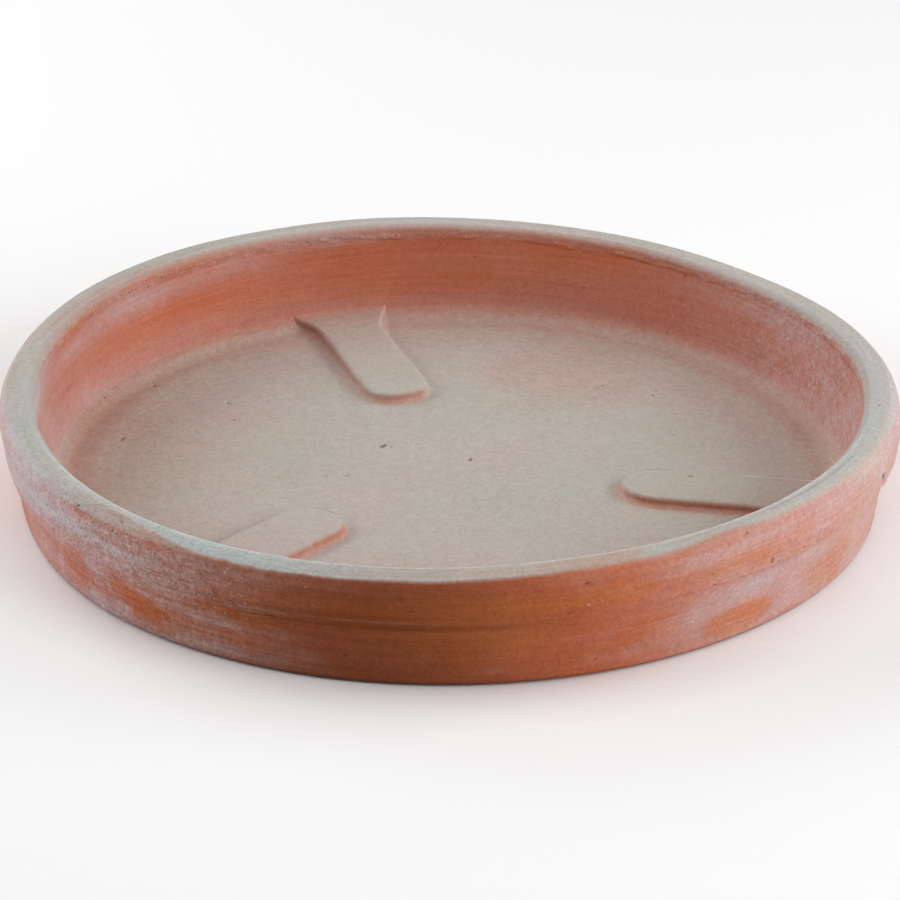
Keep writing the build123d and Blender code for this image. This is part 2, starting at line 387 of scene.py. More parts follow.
def ring_piece(name, profile, count, shape, finish, strips):
    """Sweeps a section round Z. shape(th, r, z, out_r, out_z, mark) gives the moved r and z."""
    pts, out, marks = profile
    ns = len(pts)
    th = np.linspace(0, 2 * math.pi, count, endpoint=False)
    T = np.repeat(th[:, None], ns, 1)
    R, Z = np.repeat(pts[None, :, 0], count, 0), np.repeat(pts[None, :, 1], count, 0)
    OR, OZ = np.repeat(out[None, :, 0], count, 0), np.repeat(out[None, :, 1], count, 0)
    MK = np.repeat(marks[None], count, 0)
    r, z = shape(T, R, Z, OR, OZ, MK)
    verts = np.stack([r * np.cos(T), r * np.sin(T), z], -1).reshape(-1, 3)
    i, j = np.meshgrid(np.arange(count), np.arange(ns), indexing="ij")
    i2, j2 = (i + 1) % count, (j + 1) % ns
    quads = np.stack([i * ns + j, i2 * ns + j, i2 * ns + j2, i * ns + j2], -1).reshape(-1, 4)
    d = np.linalg.norm(np.roll(pts, -1, 0) - pts, axis=1)
    along = np.concatenate([[0], np.cumsum(d)]) / d.sum()
    per = count // strips
    strip = np.minimum(i // per, strips - 1)
    u0, u1 = (i - strip * per) / per, (i + 1 - strip * per) / per
    v0, v1 = along[j], along[j + 1]
    pad = 0.012
    fit = lambda u, v: np.stack([pad + u * (1 - 2 * pad), (strip + pad * strips / 2 + v * (1 - pad * strips)) / strips], -1)
    uvs = np.stack([fit(u0, v0), fit(u1, v0), fit(u1, v1), fit(u0, v1)], 2).reshape(-1, 4, 2)
    p = verts[quads]
    volume = np.einsum("ij,ij->i", p[:, 0], np.cross(p[:, 1], p[:, 2])).sum() + np.einsum("ij,ij->i", p[:, 0], np.cross(p[:, 2], p[:, 3])).sum()
    if volume < 0:
        quads, uvs = quads[:, ::-1], uvs[:, ::-1]
    masks = finish(T.ravel(), r.ravel(), z.ravel(), MK.ravel())
    return write_mesh(name, verts, quads.tolist(), uvs.reshape(-1, 2), masks)


# marks on the sections
HIDDEN, OUTER, FOOT, INNER, TRIM, TOP, LIP, UNDER = range(8)


def trim_depth(th):
    """Depth of the rough line that the trimming knife left inside, under the collar."""
    c, s = np.cos(th), np.sin(th)
    rough = np.clip(-0.05 + 1.0 * noise(c * 13, s * 13, 0.4, 60) + 0.6 * noise(c * 46, s * 46, 1.4, 62) + 0.5 * noise(c * 110, s * 110, 2.4, 61), 0, 1.3)
    back = 0.35 + 0.65 * np.exp(-((turn_gap(th, 45.0) / 62.0) ** 2)) + 0.8 * np.exp(-((turn_gap(th, 150.0) / 6.0) ** 2))
    return 0.02 + 0.42 * rough * back


def lip_waver(th):
    c, s = np.cos(th), np.sin(th)
    return 0.30 * noise(c * 9, s * 9, 0.6, 55) + 0.16 * noise(c * 40, s * 40, 0.1, 56)


def inside_line(z):
    return INNER_TOP_R + (z - TRIM_Z) * math.tan(LEAN)


def wall_shape(th, r, z, nr, nz, mark):
    ledge = (z > 27.9) & (r < 172.1)
    out = ((mark == OUTER) | (mark == FOOT)) & ~ledge
    inner = (mark == INNER) | (mark == TRIM)
    d = np.zeros(r.shape)
    rise = step(0.2, 3.0, z)
    d = np.where(out, rise * (wall_turning(th, z, r, 20) + pits_on_ring(th, z, r, OUTER_PITS)), d)
    up = step(10.0, 17.0, z)
    d = np.where(inner, up * (0.60 * wall_turning(th, z, r, 40) + pits_on_ring(th, z, r, INNER_SPECKS)), d)
    # the trimmed line is shallower than the joint drawn for it
    shallow = (mark == TRIM) & (r < 162.0)
    r = np.where(shallow, inside_line(z) + (r - inside_line(z)) * trim_depth(th) / TRIM_CHAMFER, r)
    r2, z2 = r + nr * d, z + nz * d
    # the wall swells out to meet the collar where the step is shallow, with a soft hollow under the lip
    o = overhang(th)
    t = np.clip((z - 24.2) / 3.8, 0, 1)
    high = step(11.0, 28.0, z)
    swell = (wall_top(o) - WALL_STEP_R) * high - foot_in(th) * (1 - high) + smear(th) * o * t * t
    scored = 0.16 * np.exp(-((z - 25.2 - 0.5 * noise(np.cos(th) * 5, np.sin(th) * 5, 0.3, 26)) / 0.5) ** 2)
    scored = scored * np.clip(0.4 + noise(np.cos(th) * 8, np.sin(th) * 8, 1.3, 27), 0, 1)
    r2 = np.where(out, r2 + swell - scored, r2)
    z2 = np.where(out, z2 + (lip_waver(th) - lip_drop(th) + 1.1 * step(0.5, 0.75, smear(th))) * t * t, z2)
    # the hollow corner follows the floor's unevenness
    x, y = r * np.cos(th), r * np.sin(th)
    low = inner & (z < 17.0) & (z > 8.9)
    lift = np.zeros(r.shape)
    if low.any():
        lift[low] = floor_relief(x[low], y[low], rest_gap(x[low], y[low])) * (1 - up[low])
    return r2, z2 + lift


def band_shape(th, r, z, nr, nz, mark):
    c, s = np.cos(th), np.sin(th)
    seen = mark != HIDDEN
    d = np.zeros(r.shape)
    face = wall_turning(th, z, r, 20) + pits_on_ring(th, z, r, OUTER_PITS)
    top = 0.20 * noise(c * r / 55, s * r / 55, 3.0, 50) + 0.12 * noise(c * 3, s * 3, r / 1.25, 51)
    top = top + 0.06 * noise(c * 7, s * 7, r / 0.8, 53) + 0.05 * noise(c * r / 2.6, s * r / 2.6, 0.9, 52)
    inside = 0.60 * wall_turning(th, z, r, 40) + pits_on_ring(th, z, r, INNER_SPECKS)
    top = top + pits_on_ring(th, r, r, RIM_PITS)
    on_side = step(41.5, 45.0, z)
    d = np.where(mark == OUTER, face * (1 - on_side) + top * on_side, d)
    d = np.where(mark == TOP, top, d)
    d = np.where((mark == INNER) | (mark == TRIM), inside + (top - inside) * step(43.5, 46.0, z), d)
    d = np.where((mark == LIP) & (r > 172.2), 0.4 * face, d)
    shallow = (mark == TRIM) & (r < 162.0)
    r1 = np.where(shallow, inside_line(z) + (r - inside_line(z)) * trim_depth(th) / TRIM_CHAMFER, r)
    r2, z2 = r1 + nr * d, z + nz * d
    # the lip draws in where the step is shallow, and its edge wavers
    o = overhang(th)
    low = (1 - step(28.4, 38.5, z)) * (r > 172.2) * ((mark == OUTER) | (mark == LIP))
    drawn = wall_top(o) + (r2 - WALL_STEP_R) * o / 2.2
    r2 = r2 + (drawn - r2) * low
    edge = np.where(mark == LIP, step(172.2, 173.6, r), np.where(mark == OUTER, 1 - step(28.6, 32.0, z), 0))
    r2 = r2 + np.where((mark == OUTER) | ((mark == LIP) & (r > 172.2)), 1.0 * about(th, 338, 20) * (1 - step(37.0, 46.0, z)), 0)
    hang = np.where(mark == LIP, step(172.2, 173.6, r), np.where(mark == OUTER, 1 - step(28.0, 42.0, z), 0))
    z2 = z2 + edge * lip_waver(th) - hang * lip_drop(th)
    # along the front the inner edge is worn back and left crisp
    worn = step(41.5, 46.2, z) * (1 - step(163.5, 170.5, r)) * ((mark == INNER) | (mark == TOP))
    deg = np.degrees(th) % 360.0
    front = step(176, 200, deg) * (1 - step(318, 338, deg))
    r2 = r2 + worn_back(th) * worn
    z2 = z2 + 0.28 * front * np.exp(-(((r - 164.4) / 0.9) ** 2)) * (worn > 0)
    ridge = np.exp(-((z - 42.2) / 0.9) ** 2) * np.clip(noise(c * 30, s * 30, 0.8, 57), 0, 1)
    r2 = r2 - np.where(mark == INNER, 0.3 * ridge, 0)
    return np.where(seen, r2, r), np.where(seen, z2, z)


# ---- finish masks ----------------------------------------------------------------------------
# film: how much lime film covers the clay; lilac and cool: the film's tint; shade: how far the
# colour is darkened, partly clay fired darker and partly painted shade; mottle: how patchy the film is; lime: how thick
# the white grains lie;
# hole: open pits and scored lines, painted dark as painted shade; chalk: thin pale lines and painted highlights;
# coarse: how strong the grain is; ochre: clay fired to a yellower red; strata: how strong the turning streaks are;
# crust: how thick fine crumbs lie.
def blank(n):
    m = {k: np.zeros(n) for k in ("film", "lilac", "cool", "shade", "mottle", "lime", "hole", "chalk", "coarse", "ochre", "strata", "crust")}
    m["coarse"] += 1.0
    return m


def about(th, deg, width):
    return np.exp(-((turn_gap(th, deg) / width) ** 2))


def spot(th, z, r, deg, h, along, high, lean=0.0):
    """Soft patch on an upright face: angle, height, half length, half height, lean in mm of height per mm."""
    g = turn_gap(th, deg) * math.pi / 180 * r
    return np.exp(-((g / along) ** 2) - ((z - h - lean * g) / high) ** 2)


def patch(th, z, r, deg, h, along, high, lean=0.0, soft=0.25):
    """The same with a definite edge."""
    g = turn_gap(th, deg) * math.pi / 180 * r
    c, s = np.cos(th), np.sin(th)
    d = np.sqrt((g / along) ** 2 + ((z - h - lean * g) / high) ** 2)
    d = d + 0.12 * noise(c * 24, s * 24, z / 5, 78) + 0.05 * noise(c * 70, s * 70, z / 2, 79)
    return 1 - step(1 - soft, 1 + soft, d)


def floor_film(x, y):
    r = np.hypot(x, y)
    f = 0.98 - 0.07 * step(70, 115, r) - 0.10 * step(110, 140, r) - 0.17 * step(134, 148, r)
    f = f - 0.17 * np.exp(-(((x + 112) / 45) ** 2 + ((y - 78) / 58) ** 2))
    f = f - 0.06 * np.exp(-(((x - 128) / 26) ** 2 + ((y - 20) / 45) ** 2))
    worn = np.hypot((x - 76) / 40, (y - 72) / 42) + 0.22 * noise(x / 20, y / 20, 0.9, 68) + 0.1 * noise(x / 7, y / 7, 0.9, 69)
    f = f - 0.13 * (1 - step(0.55, 1.15, worn))
    return f + 0.035 * noise(x / 34, y / 34, 1.7, 70) + 0.03 * noise(x / 12, y / 12, 4.2, 76)


def wall_veil(th, r, z):
    """Film on the inside of the wall."""
    c, s = np.cos(th), np.sin(th)
    wave = noise(c * 3, s * 3, z / 18, 71)
    rise = np.maximum(z - 9.0 + 1.2 * wave, 0)
    v = 0.42 * np.exp(-rise / 4.0) + 0.21 * np.exp(-rise / 18.0)
    v = v + 0.26 * about(th, 352, 33) + 0.18 * about(th, 22, 17) * step(28, 38, z) + 0.13 * about(th, 150, 24)
    v = v + 0.18 * about(th, 339, 13) * step(20, 32, z) + 0.26 * about(th, 163, 11) + 0.07 * about(th, 4, 14) * step(18, 26, z) + 0.30 * spot(th, z, r, 163, 41, 26, 3.5) + 0.20 * step(39.5, 43.0, z) * about(th, 75, 40)
    v = v + 0.28 * spot(th, z, r, 124, 37.5, 30, 5) + 0.20 * spot(th, z, r, 140, 37, 24, 4) + 0.22 * spot(th, z, r, 105, 39, 22, 5, -0.05) + 0.24 * spot(th, z, r, 88, 42.5, 24, 4)
    v = v + 0.14 * spot(th, z, r, 140, 17, 26, 5, 0.12) + 0.16 * spot(th, z, r, 150, 43, 16, 3)
    v = v + 0.12 * spot(th, z, r, 117, 38, 22, 5) + 0.12 * spot(th, z, r, 344, 24, 24, 9) + 0.16 * spot(th, z, r, 128, 41.5, 16, 3) + 0.03 * about(th, 8, 20) * step(13, 20, z)
    torn = np.clip(0.5 + 1.3 * noise(c * 60, s * 60, z / 1.2, 63), 0, 1)
    v = v - 0.26 * patch(th, z, r, 152, 43.2, 20, 0.8, -0.03, 0.6) * torn - 0.10 * patch(th, z, r, 140, 42.3, 9, 3.0, 0.0, 0.5) * torn
    v = v + 0.45 * spot(th, z, r, 164, 42, 34, 4.5) - 0.10 * about(th, 122, 22) * np.exp(-((z - 27) / 5) ** 2)
    v = v + 0.08 * spot(th, z, r, 120, 38, 28, 5) + 0.05 * spot(th, z, r, 16, 37, 26, 5)
    v = v + 0.10 * spot(th, z, r, 160, 39, 14, 4) - 0.10 * spot(th, z, r, 0, 12, 30, 3) + 0.04 * spot(th, z, r, 100, 19, 30, 6)
    red = np.exp(-((z - 41.0 - 0.8 * noise(c * 12, s * 12, 0.2, 66)) / 0.8) ** 2) * np.clip(0.3 + noise(c * 20, s * 20, 0.5, 67), 0, 1)
    v = v - 0.16 * red
    v = v + 0.10 * wave + 0.06 * step(41.5, 44.0, z)
    return np.clip(v, 0.0, 1)


def inside_masks(m, x, y, z, pick):
    """Finish of the floor, the hollow corner and the inner wall, as one run of clay."""
    th, r = np.arctan2(y, x), np.hypot(x, y)
    k = np.minimum(1.0, SLAB_R / np.maximum(r, 1.0))
    f = floor_film(x * k, y * k)
    up = step(9.1, 12.8, z)
    m["film"][pick] = (f + (wall_veil(th, r, z) - f) * up)[pick]
    m["lilac"][pick] = (0.07 + (0.60 + 0.4 * about(th, 130, 34) + 0.32 * about(th, 8, 28)) * step(9.5, 17, z) * (1 - step(42.5, 45.5, z)))[pick]
    m["mottle"][pick] = (0.12 + 0.38 * about(th, 355, 36) * step(10, 18, z))[pick]
    line = np.exp(-(((z - 43.0) / 1.7) ** 2)) * (0.35 + 0.65 * about(th, 100, 62))
    veil = (0.75 * about(th, 5, 27) + 0.4 * about(th, 120, 22) * step(32, 36, z)) * step(12, 20, z) * (1 - step(43, 45.5, z))
    m["crust"][pick] = np.clip(line * step(20, 30, z) + veil, 0, 1)[pick]
    m["strata"][pick] = (0.10 * step(10, 16, z) * (1 - 0.8 * about(th, 0, 34)))[pick]
    marks = pits_on_ring(th, z, r, INNER_SPECKS) * (z > 15)
    m["lime"][pick] = np.clip(0.4 * marks / 0.34, 0, 0.4)[pick]
    # open pits are painted dark, as painted shade in the recesses
    m["hole"][pick] = np.clip(-marks / 0.5, 0, 1)[pick]
    # painted shade on the floor and wall next to the wall at the left and the right, and along the hollow corner to dim
    # the light it catches
    low = np.exp(-(((z - 11.0) / 3.2) ** 2)) * step(138, 146, r)
    m["shade"][pick] = (0.12 * about(th, 148, 32) * step(120, 147, r) + 0.09 * about(th, 350, 20) * step(130, 148, r) + (0.32 * about(th, 132, 34) + 0.12 * about(th, 0, 18)) * low)[pick]
    m["coarse"][pick] = (1.0 + (0.7 * about(th, 352, 30) - 0.45) * step(10, 16, z))[pick]


def oval(th, z, r):
    """A bare patch near the foot, with a definite edge."""
    g = turn_gap(th, 290.8) * math.pi / 180 * r
    d = np.sqrt((g / 17.5) ** 2 + ((z - 8.8 - 0.02 * g) / 5.9) ** 2) + 0.04 * noise(np.cos(th) * 24, np.sin(th) * 24, z / 5, 78)
    return 1 - step(0.93, 1.07, d)


def yellower(th, z, r):
    """Where the clay of the outside is fired to a yellower red."""
    o = 0.6 * oval(th, z, r) + 0.55 * patch(th, z, r, 309, 11.5, 17, 8, 0.0, 0.5) + 0.5 * patch(th, z, r, 290, 35.5, 30, 4.6, 0.0, 0.5)
    o = o + 0.6 * patch(th, z, r, 300, 27.8, 21, 2.8, 0.0, 0.5) + 0.7 * patch(th, z, r, 269.5, 35.3, 20, 3.4, 0.0, 0.45) + 0.9 * patch(th, z, r, 256, 34.0, 32, 6.0, 0.0, 0.4)
    o = o + 0.9 * patch(th, z, r, 254, 19, 28, 8.5, 0.02, 0.4) + 0.8 * patch(th, z, r, 241, 30.5, 19, 7.5, 0.0, 0.4) + 0.7 * patch(th, z, r, 227, 23.6, 30, 2.6, 0.0, 0.5)
    o = o + 0.10 * patch(th, z, r, 195.8, 14.5, 11, 10, 0.30, 0.4) + 0.18 * patch(th, z, r, 208.6, 13.0, 15, 6.6, -0.28, 0.3) + 0.5 * patch(th, z, r, 219.5, 11.8, 22, 3.2, -0.06, 0.5)
    return np.clip(o, 0, 1)


def outer_veil(th, r, z):
    c, s = np.cos(th), np.sin(th)
    a = turn_gap(th, 316)
    right = np.where(a < 0, 0.48 * step(-52, 0, a), 0.48 - 0.25 * step(0, 70, a)) * (1 - step(100, 170, a))
    big = noise(c * r / 26, s * r / 26, z / 7.5, 84) + 0.5 * noise(c * r / 11, s * r / 11, z / 4.0, 86)
    v = 0.05 + 0.05 * noise(c * 2.5, s * 2.5, z / 16, 72) + (0.09 + 0.05 * about(th, 305, 30)) * big + right + 0.50 * about(th, 190, 19)
    v = v + 0.13 * about(th, 215, 10) - 0.06 * about(th, 248, 20) - 0.10 * spot(th, z, r, 250, 33, 60, 6) - 0.10 * spot(th, z, r, 245, 24.5, 40, 3)
    v = v - 0.12 * spot(th, z, r, 252, 28, 55, 13) + 0.22 * spot(th, z, r, 191, 37, 22, 4.5) - 0.26 * spot(th, z, r, 191, 41.3, 16, 1.8) - 0.06 * spot(th, z, r, 190, 14, 12, 4)
    v = v + 0.18 * spot(th, z, r, 200, 21.5, 10, 4) + 0.16 * spot(th, z, r, 230, 11.5, 14, 5) + 0.14 * spot(th, z, r, 320, 36, 25, 5)
    v = v + 0.10 * spot(th, z, r, 285, 39.5, 24, 3) - 0.07 * spot(th, z, r, 300, 44.6, 60, 1.7)
    v = v + 0.06 * spot(th, z, r, 231, 9, 14, 7) + 0.06 * spot(th, z, r, 275, 27, 25, 5) - 0.07 * spot(th, z, r, 300, 17, 14, 5) + 0.16 * about(th, 341, 14) * step(28, 34, z)
    v = v + 0.34 * spot(th, z, r, 202, 36, 40, 5, -0.03) + 0.16 * spot(th, z, r, 219, 38, 24, 5) + 0.10 * spot(th, z, r, 224, 44, 26, 2.4)
    v = v + 0.18 * spot(th, z, r, 217, 3, 34, 5) + 0.22 * spot(th, z, r, 202, 4, 18, 4) + 0.14 * spot(th, z, r, 211, 26, 22, 6)
    v = v + 0.30 * spot(th, z, r, 291, 20.5, 26, 4.5, 0.04) + 0.16 * spot(th, z, r, 281, 11, 9, 8) + 0.14 * spot(th, z, r, 287, 40, 26, 3)
    v = v + 0.16 * spot(th, z, r, 316, 43.5, 40, 4) + 0.10 * spot(th, z, r, 303, 21, 16, 6) + 0.05 * step(38, 43, z)
    v = v - 0.22 * patch(th, z, r, 195.8, 14.5, 11, 11, 0.30, 0.4) - 0.24 * patch(th, z, r, 208.6, 13.0, 16, 6.6, -0.28, 0.30) - 0.10 * patch(th, z, r, 219.5, 11.8, 22, 3.2, -0.06, 0.5)
    v = v + 0.06 * patch(th, z, r, 290.8, 11.0, 24, 9.5, 0.0, 0.5) - 0.20 * oval(th, z, r) - 0.12 * patch(th, z, r, 198.0, 43.8, 11, 0.9, -0.10, 0.6) + 0.14 * spot(th, z, r, 224, 5, 20, 3.4)
    v = v + 0.14 * spot(th, z, r, 220, 14, 12, 5) + 0.10 * spot(th, z, r, 201, 8, 16, 8) - 0.06 * patch(th, z, r, 309, 17, 18, 7, 0.1, 0.5)
    v = v + 0.10 * spot(th, z, r, 213, 35, 26, 6) - 0.12 * spot(th, z, r, 226, 23.6, 26, 2.4) + 0.12 * spot(th, z, r, 222, 17.6, 18, 2.4) + 0.10 * spot(th, z, r, 218, 5, 24, 3)
    v = v + 0.05 * spot(th, z, r, 294.5, 21, 16, 4.5) + 0.12 * spot(th, z, r, 283.4, 13, 5, 10) + 0.10 * spot(th, z, r, 299.5, 10, 9, 6) + 0.12 * spot(th, z, r, 288.5, 31.8, 8, 2.4)
    v = v - 0.10 * patch(th, z, r, 290, 36, 28, 3.6, 0.0, 0.5) - 0.10 * patch(th, z, r, 299, 27.6, 20, 2.4, 0.0, 0.5) - 0.10 * patch(th, z, r, 309, 11.5, 15, 7, 0.0, 0.5)
    v = v + 0.12 * spot(th, z, r, 311, 24, 10, 3.5, 0.15) + 0.60 * about(th, 167, 17) * step(22, 32, z) + 0.25 * about(th, 349, 13) * step(28, 34, z)
    v = v + 0.16 * about(th, 212, 20) * noise(c * r / 8, s * r / 8, z / 3.2, 88)
    v = v - (0.12 * about(th, 189, 7) + 0.07 * about(th, 203, 9)) * (1 - step(23, 29, z)) - 0.05 * about(th, 309, 11)
    v = v - 0.10 * spot(th, z, r, 212, 37, 18, 5) * np.clip(0.5 + noise(c * r / 7, s * r / 7, z / 3.0, 75), 0, 1)
    return np.clip(v, 0, 1)


def outer_masks(m, th, r, z, pick):
    # painted shade: the outside is darkened on a broad band of the front round 241 degrees, and in a few smaller spots;
    # near 217 degrees the darkening is noisy patches of darker clay
    a = turn_gap(th, 241)
    shade = 0.84 * np.exp(-((a / np.where(a < 0, 25.0, 20.5)) ** 2))
    shade = shade + 0.12 * spot(th, z, r, 220, 30.5, 14, 4) + 0.08 * spot(th, z, r, 221, 43, 20, 2.5) + 0.10 * spot(th, z, r, 226, 23.6, 24, 2.4)
    shade = shade + 0.14 * about(th, 234, 20) * np.exp(-(((z - 30.2) / 1.6) ** 2)) + 0.16 * about(th, 217, 15) * noise(np.cos(th) * r / 9, np.sin(th) * r / 9, z / 3.0, 89)
    m["film"][pick] = outer_veil(th, r, z)[pick]
    c, s = np.cos(th), np.sin(th)
    tint = noise(c * r / 19, s * r / 19, z / 9, 85) + 0.5 * noise(c * r / 8, s * r / 8, z / 5, 87)
    ochre = yellower(th, z, r)
    m["ochre"][pick] = ochre[pick]
    m["lilac"][pick] = np.clip((0.45 + 0.5 * about(th, 195, 25) + 0.45 * about(th, 344, 20) + 0.2 * about(th, 165, 20) + 0.55 * about(th, 290, 14) + 0.42 * tint) * (1 - 0.8 * ochre), 0, 1)[pick]
    m["mottle"][pick] = (-0.07 + 0.42 * about(th, 205, 22))[pick]
    m["strata"][pick] = (0.35 + 0.65 * about(th, 236, 30))[pick]
    crumbs = 1.0 * about(th, 211, 17) * (0.45 + 0.55 * step(14, 26, z)) + 0.75 * about(th, 195, 9) * step(20, 31, z) + 0.35 * spot(th, z, r, 268, 33, 20, 5)
    crumbs = crumbs + 0.6 * about(th, 298, 22) * np.exp(-(((z - 28.8) / 1.1) ** 2)) + 0.30 * spot(th, z, r, 244, 32, 14, 2) + 0.30 * spot(th, z, r, 286, 40, 14, 3)
    m["crust"][pick] = np.clip(crumbs, 0, 1)[pick]
    deg = np.degrees(th) % 360.0
    front = step(216, 226, deg) * (1 - step(256, 268, deg))
    # painted shadow in a band under the lip along the front, and painted shade along the very foot of the wall
    under = 0.22 * front * np.exp(-(((z - 26.2) / 1.1) ** 2))
    m["shade"][pick] = np.clip(shade + under + 0.35 * (1 - step(0.5, 2.4, z)), 0.0, 1.0)[pick]
    # a thin pale line along the front lip, partly lime film and partly painted highlight on the lip's edge
    m["chalk"][pick] = (0.08 * front * (1 - step(240, 254, deg)) * np.exp(-(((z - 28.9) / 0.45) ** 2)) * np.clip(0.7 + noise(np.cos(th) * 20, np.sin(th) * 20, 0.5, 82), 0, 1))[pick]
    m["coarse"][pick] = (1.25 + 2.1 * about(th, 207, 23) * (0.62 + 0.38 * step(24, 31, z)) + 0.1 * about(th, 300, 28))[pick]
    marks = pits_on_ring(th, z, r, OUTER_PITS)
    m["lime"][pick] = np.clip((marks - 0.10) / 0.34, 0, 1)[pick]
    # open pits are painted dark, as painted shade in the recesses
    m["hole"][pick] = np.clip(-marks / 0.6, 0, 1)[pick]


def wall_finish(th, r, z, mark):
    m = blank(len(th))
    out = (mark == OUTER) | (mark == FOOT) | (mark == UNDER) | ((mark == HIDDEN) & (r > 160.5) & (z > 20))
    inside_masks(m, r * np.cos(th), r * np.sin(th), z, ~out)
    outer_masks(m, th, r, z, out)
    return m


# outer edge of the film on the collar's top along the front: degrees, radius
STRIP = np.array([(172, 174.5), (188, 173.5), (194, 170.6), (200, 168.2), (205, 167.8), (209, 168.9), (214, 171.2), (219, 173.2), (236, 173.2), (250, 173.05),
                  (262, 172.8), (274, 172.5), (281, 172.4), (285, 171.0), (289, 170.9), (294, 172.6), (310, 173.1), (332, 173.6)])


def band_finish(th, r, z, mark):
    m = blank(len(th))
    c, s = np.cos(th), np.sin(th)
    inner = (mark == INNER) | (mark == TRIM)
    top = (mark == TOP) | ((mark == OUTER) & (z > 44.0))
    inside_masks(m, r * c, r * s, z, inner)
    outer_masks(m, th, r, z, ~inner)
    deg = np.degrees(th) % 360.0
    wave = noise(c * 5, s * 5, 0.4, 73) + 0.6 * noise(c * 18, s * 18, 0.7, 74)
    right = np.clip(about(th, 330, 42) + about(th, 40, 60) + about(th, 120, 50), 0, 1)
    front = step(172, 186, deg) * (1 - step(316, 334, deg))
    a = step(44.3 - 1.3 * right, 45.7 - 0.7 * right, z + 0.28 * wave)
    # at the sides and the back the film covers the whole top, along the front it keeps to a wandering strip
    b = np.maximum(1 - step(167.0, 172.5, r + 0.8 * wave), 0.9 * right)
    covered = a * (0.62 + 0.38 * b)
    limit = np.interp(deg, STRIP[:, 0], STRIP[:, 1]) + 0.30 * wave
    soft = np.interp(deg, [172, 194, 204, 214, 262, 275, 300, 320], [1.5, 1.8, 1.3, 0.7, 0.8, 1.4, 1.5, 2.4])
    strip = 1 - step(limit - soft, limit + soft, r)
    beyond = np.interp(deg, [172, 192, 200, 208, 214, 222, 236, 320], [0.84, 0.78, 0.66, 0.56, 0.40, 0.24, 0.06, 0.10])
    level = np.interp(deg, [230, 240, 260, 267, 274, 278, 284, 290, 300], [0.97, 0.90, 0.86, 0.68, 0.66, 0.95, 0.80, 0.78, 0.90])
    full = covered + (np.maximum(strip * level, beyond * a) - covered) * front
    thin = about(th, 132, 20) * 0.26 * (1 - step(164.0, 168.5, r)) + 0.08 * about(th, 35, 40) + 0.06 * about(th, 125, 26)
    thin = thin + 0.22 * spot(th, r, r, 140.5, 167.5, 9, 2.2) + 0.25 * spot(th, r, r, 272.0, 168.0, 3.0, 1.6)
    edge = 1 - 0.40 * (about(th, 80, 70) + 0.6 * about(th, 345, 14)) * (1 - step(162.6, 165.4, r)) - thin
    v = np.where(inner, m["film"] + (1 - m["film"]) * step(42.6 + 1.7 * about(th, 80, 55), 46.2 + 0.2 * about(th, 80, 55), z + 0.3 * wave) * edge, m["film"] + (1 - m["film"]) * full)
    v = np.where(mark == TOP, v * edge, v)
    m["film"] = v
    marks = pits_on_ring(th, r, r, RIM_PITS)
    m["lime"] = np.where(top, np.clip(marks / 0.4, 0, 1), m["lime"])
    # open pits on the top are painted dark, as painted shade in the recesses
    m["hole"] = np.where(top, np.clip(-marks / 0.6, 0, 1), m["hole"])
    lines = noise(c * 4, s * 4, r / 1.3, 77)
    u = r - 163.3 - worn_back(th)
    wide = np.interp(deg, [150, 175, 200, 208, 215, 228, 300, 330], [3.5, 3.6, 4.0, 5.5, 8.0, 9.5, 8.0, 6.0])
    blue = np.interp(deg, [140, 175, 195, 205, 215, 225, 236, 245, 270, 278, 300, 335, 360], [0.30, 0.45, 0.42, 0.55, 1.0, 1.0, 0.55, 0.22, 0.12, 0.40, 0.45, 0.50, 0.35])
    within = 1 - step(wide - 1.0, wide + 0.6, u)
    cool = blue * within + 0.18 * (1 - within) + 0.12 * lines
    shoulder = step(169.8, 171.8, r) * step(160, 172, deg) * (1 - step(192, 202, deg))
    m["cool"] = np.where(top | inner, np.clip(cool + 0.25 * shoulder, 0, 1) * step(44.0, 46.0, z), 0)
    m["lilac"] = np.where(top, np.maximum(np.maximum(m["lilac"] * (1 - step(44.0, 46.0, z)), 0.6 * shoulder), 0.40 * about(th, 346, 15)), m["lilac"])
    m["shade"] = m["shade"] * (1 - 0.8 * (a * (1 - front) + strip * front) * ~inner)
    dull = 0.13 * about(th, 118, 26) + 0.13 * about(th, 20, 42) * step(169.0, 172.0, r) + 0.06 * about(th, 70, 60) * (1 - step(163.0, 165.0, r)) + 0.06 * about(th, 180, 14) * (1 - step(166.0, 168.5, r))
    dull = dull + 0.22 * about(th, 201, 7) * step(164.8, 167.2, r)
    m["shade"] = np.where(top, np.minimum(m["shade"] + dull, 1.0), m["shade"])
    # painted highlight: a bright line along the inner edge of the top, along the front
    painted_edge_highlight = np.interp(deg, [176, 190, 215, 300, 318, 330], [0.2, 0.75, 0.95, 0.85, 0.4, 0.0]) * np.exp(-(((u - 0.8) / 0.75) ** 2))
    outer_line = step(224, 232, deg) * (1 - step(256, 266, deg)) * 0.45 * np.exp(-(((r - limit + 0.9) / 0.45) ** 2))
    m["chalk"] = np.where(top | inner, (painted_edge_highlight + outer_line) * np.clip(0.75 + 0.6 * noise(c * 30, s * 30, 0.9, 83), 0, 1) * step(44.5, 46.0, z), m["chalk"])
    m["coarse"] = np.where(top, 1.1 + 0.6 * about(th, 202, 34), m["coarse"])
    m["lilac"] = np.where(top, np.clip(m["lilac"] + 0.45 * about(th, 190, 28) * np.clip(noise(c * 34, s * 34, r / 3.0, 58), 0, 1), 0, 1), m["lilac"])
    m["strata"] = np.where(top, 0.55 + 0.40 * about(th, 206, 14) - 0.45 * about(th, 318, 26), m["strata"])
    m["crust"] = np.where(top, 0.15 + 0.25 * about(th, 196, 24) + 0.5 * about(th, 207, 16) * step(169.5, 172.5, r), m["crust"])
    m["ochre"] = np.where(top, m["ochre"] * 0.5, m["ochre"])
    return m


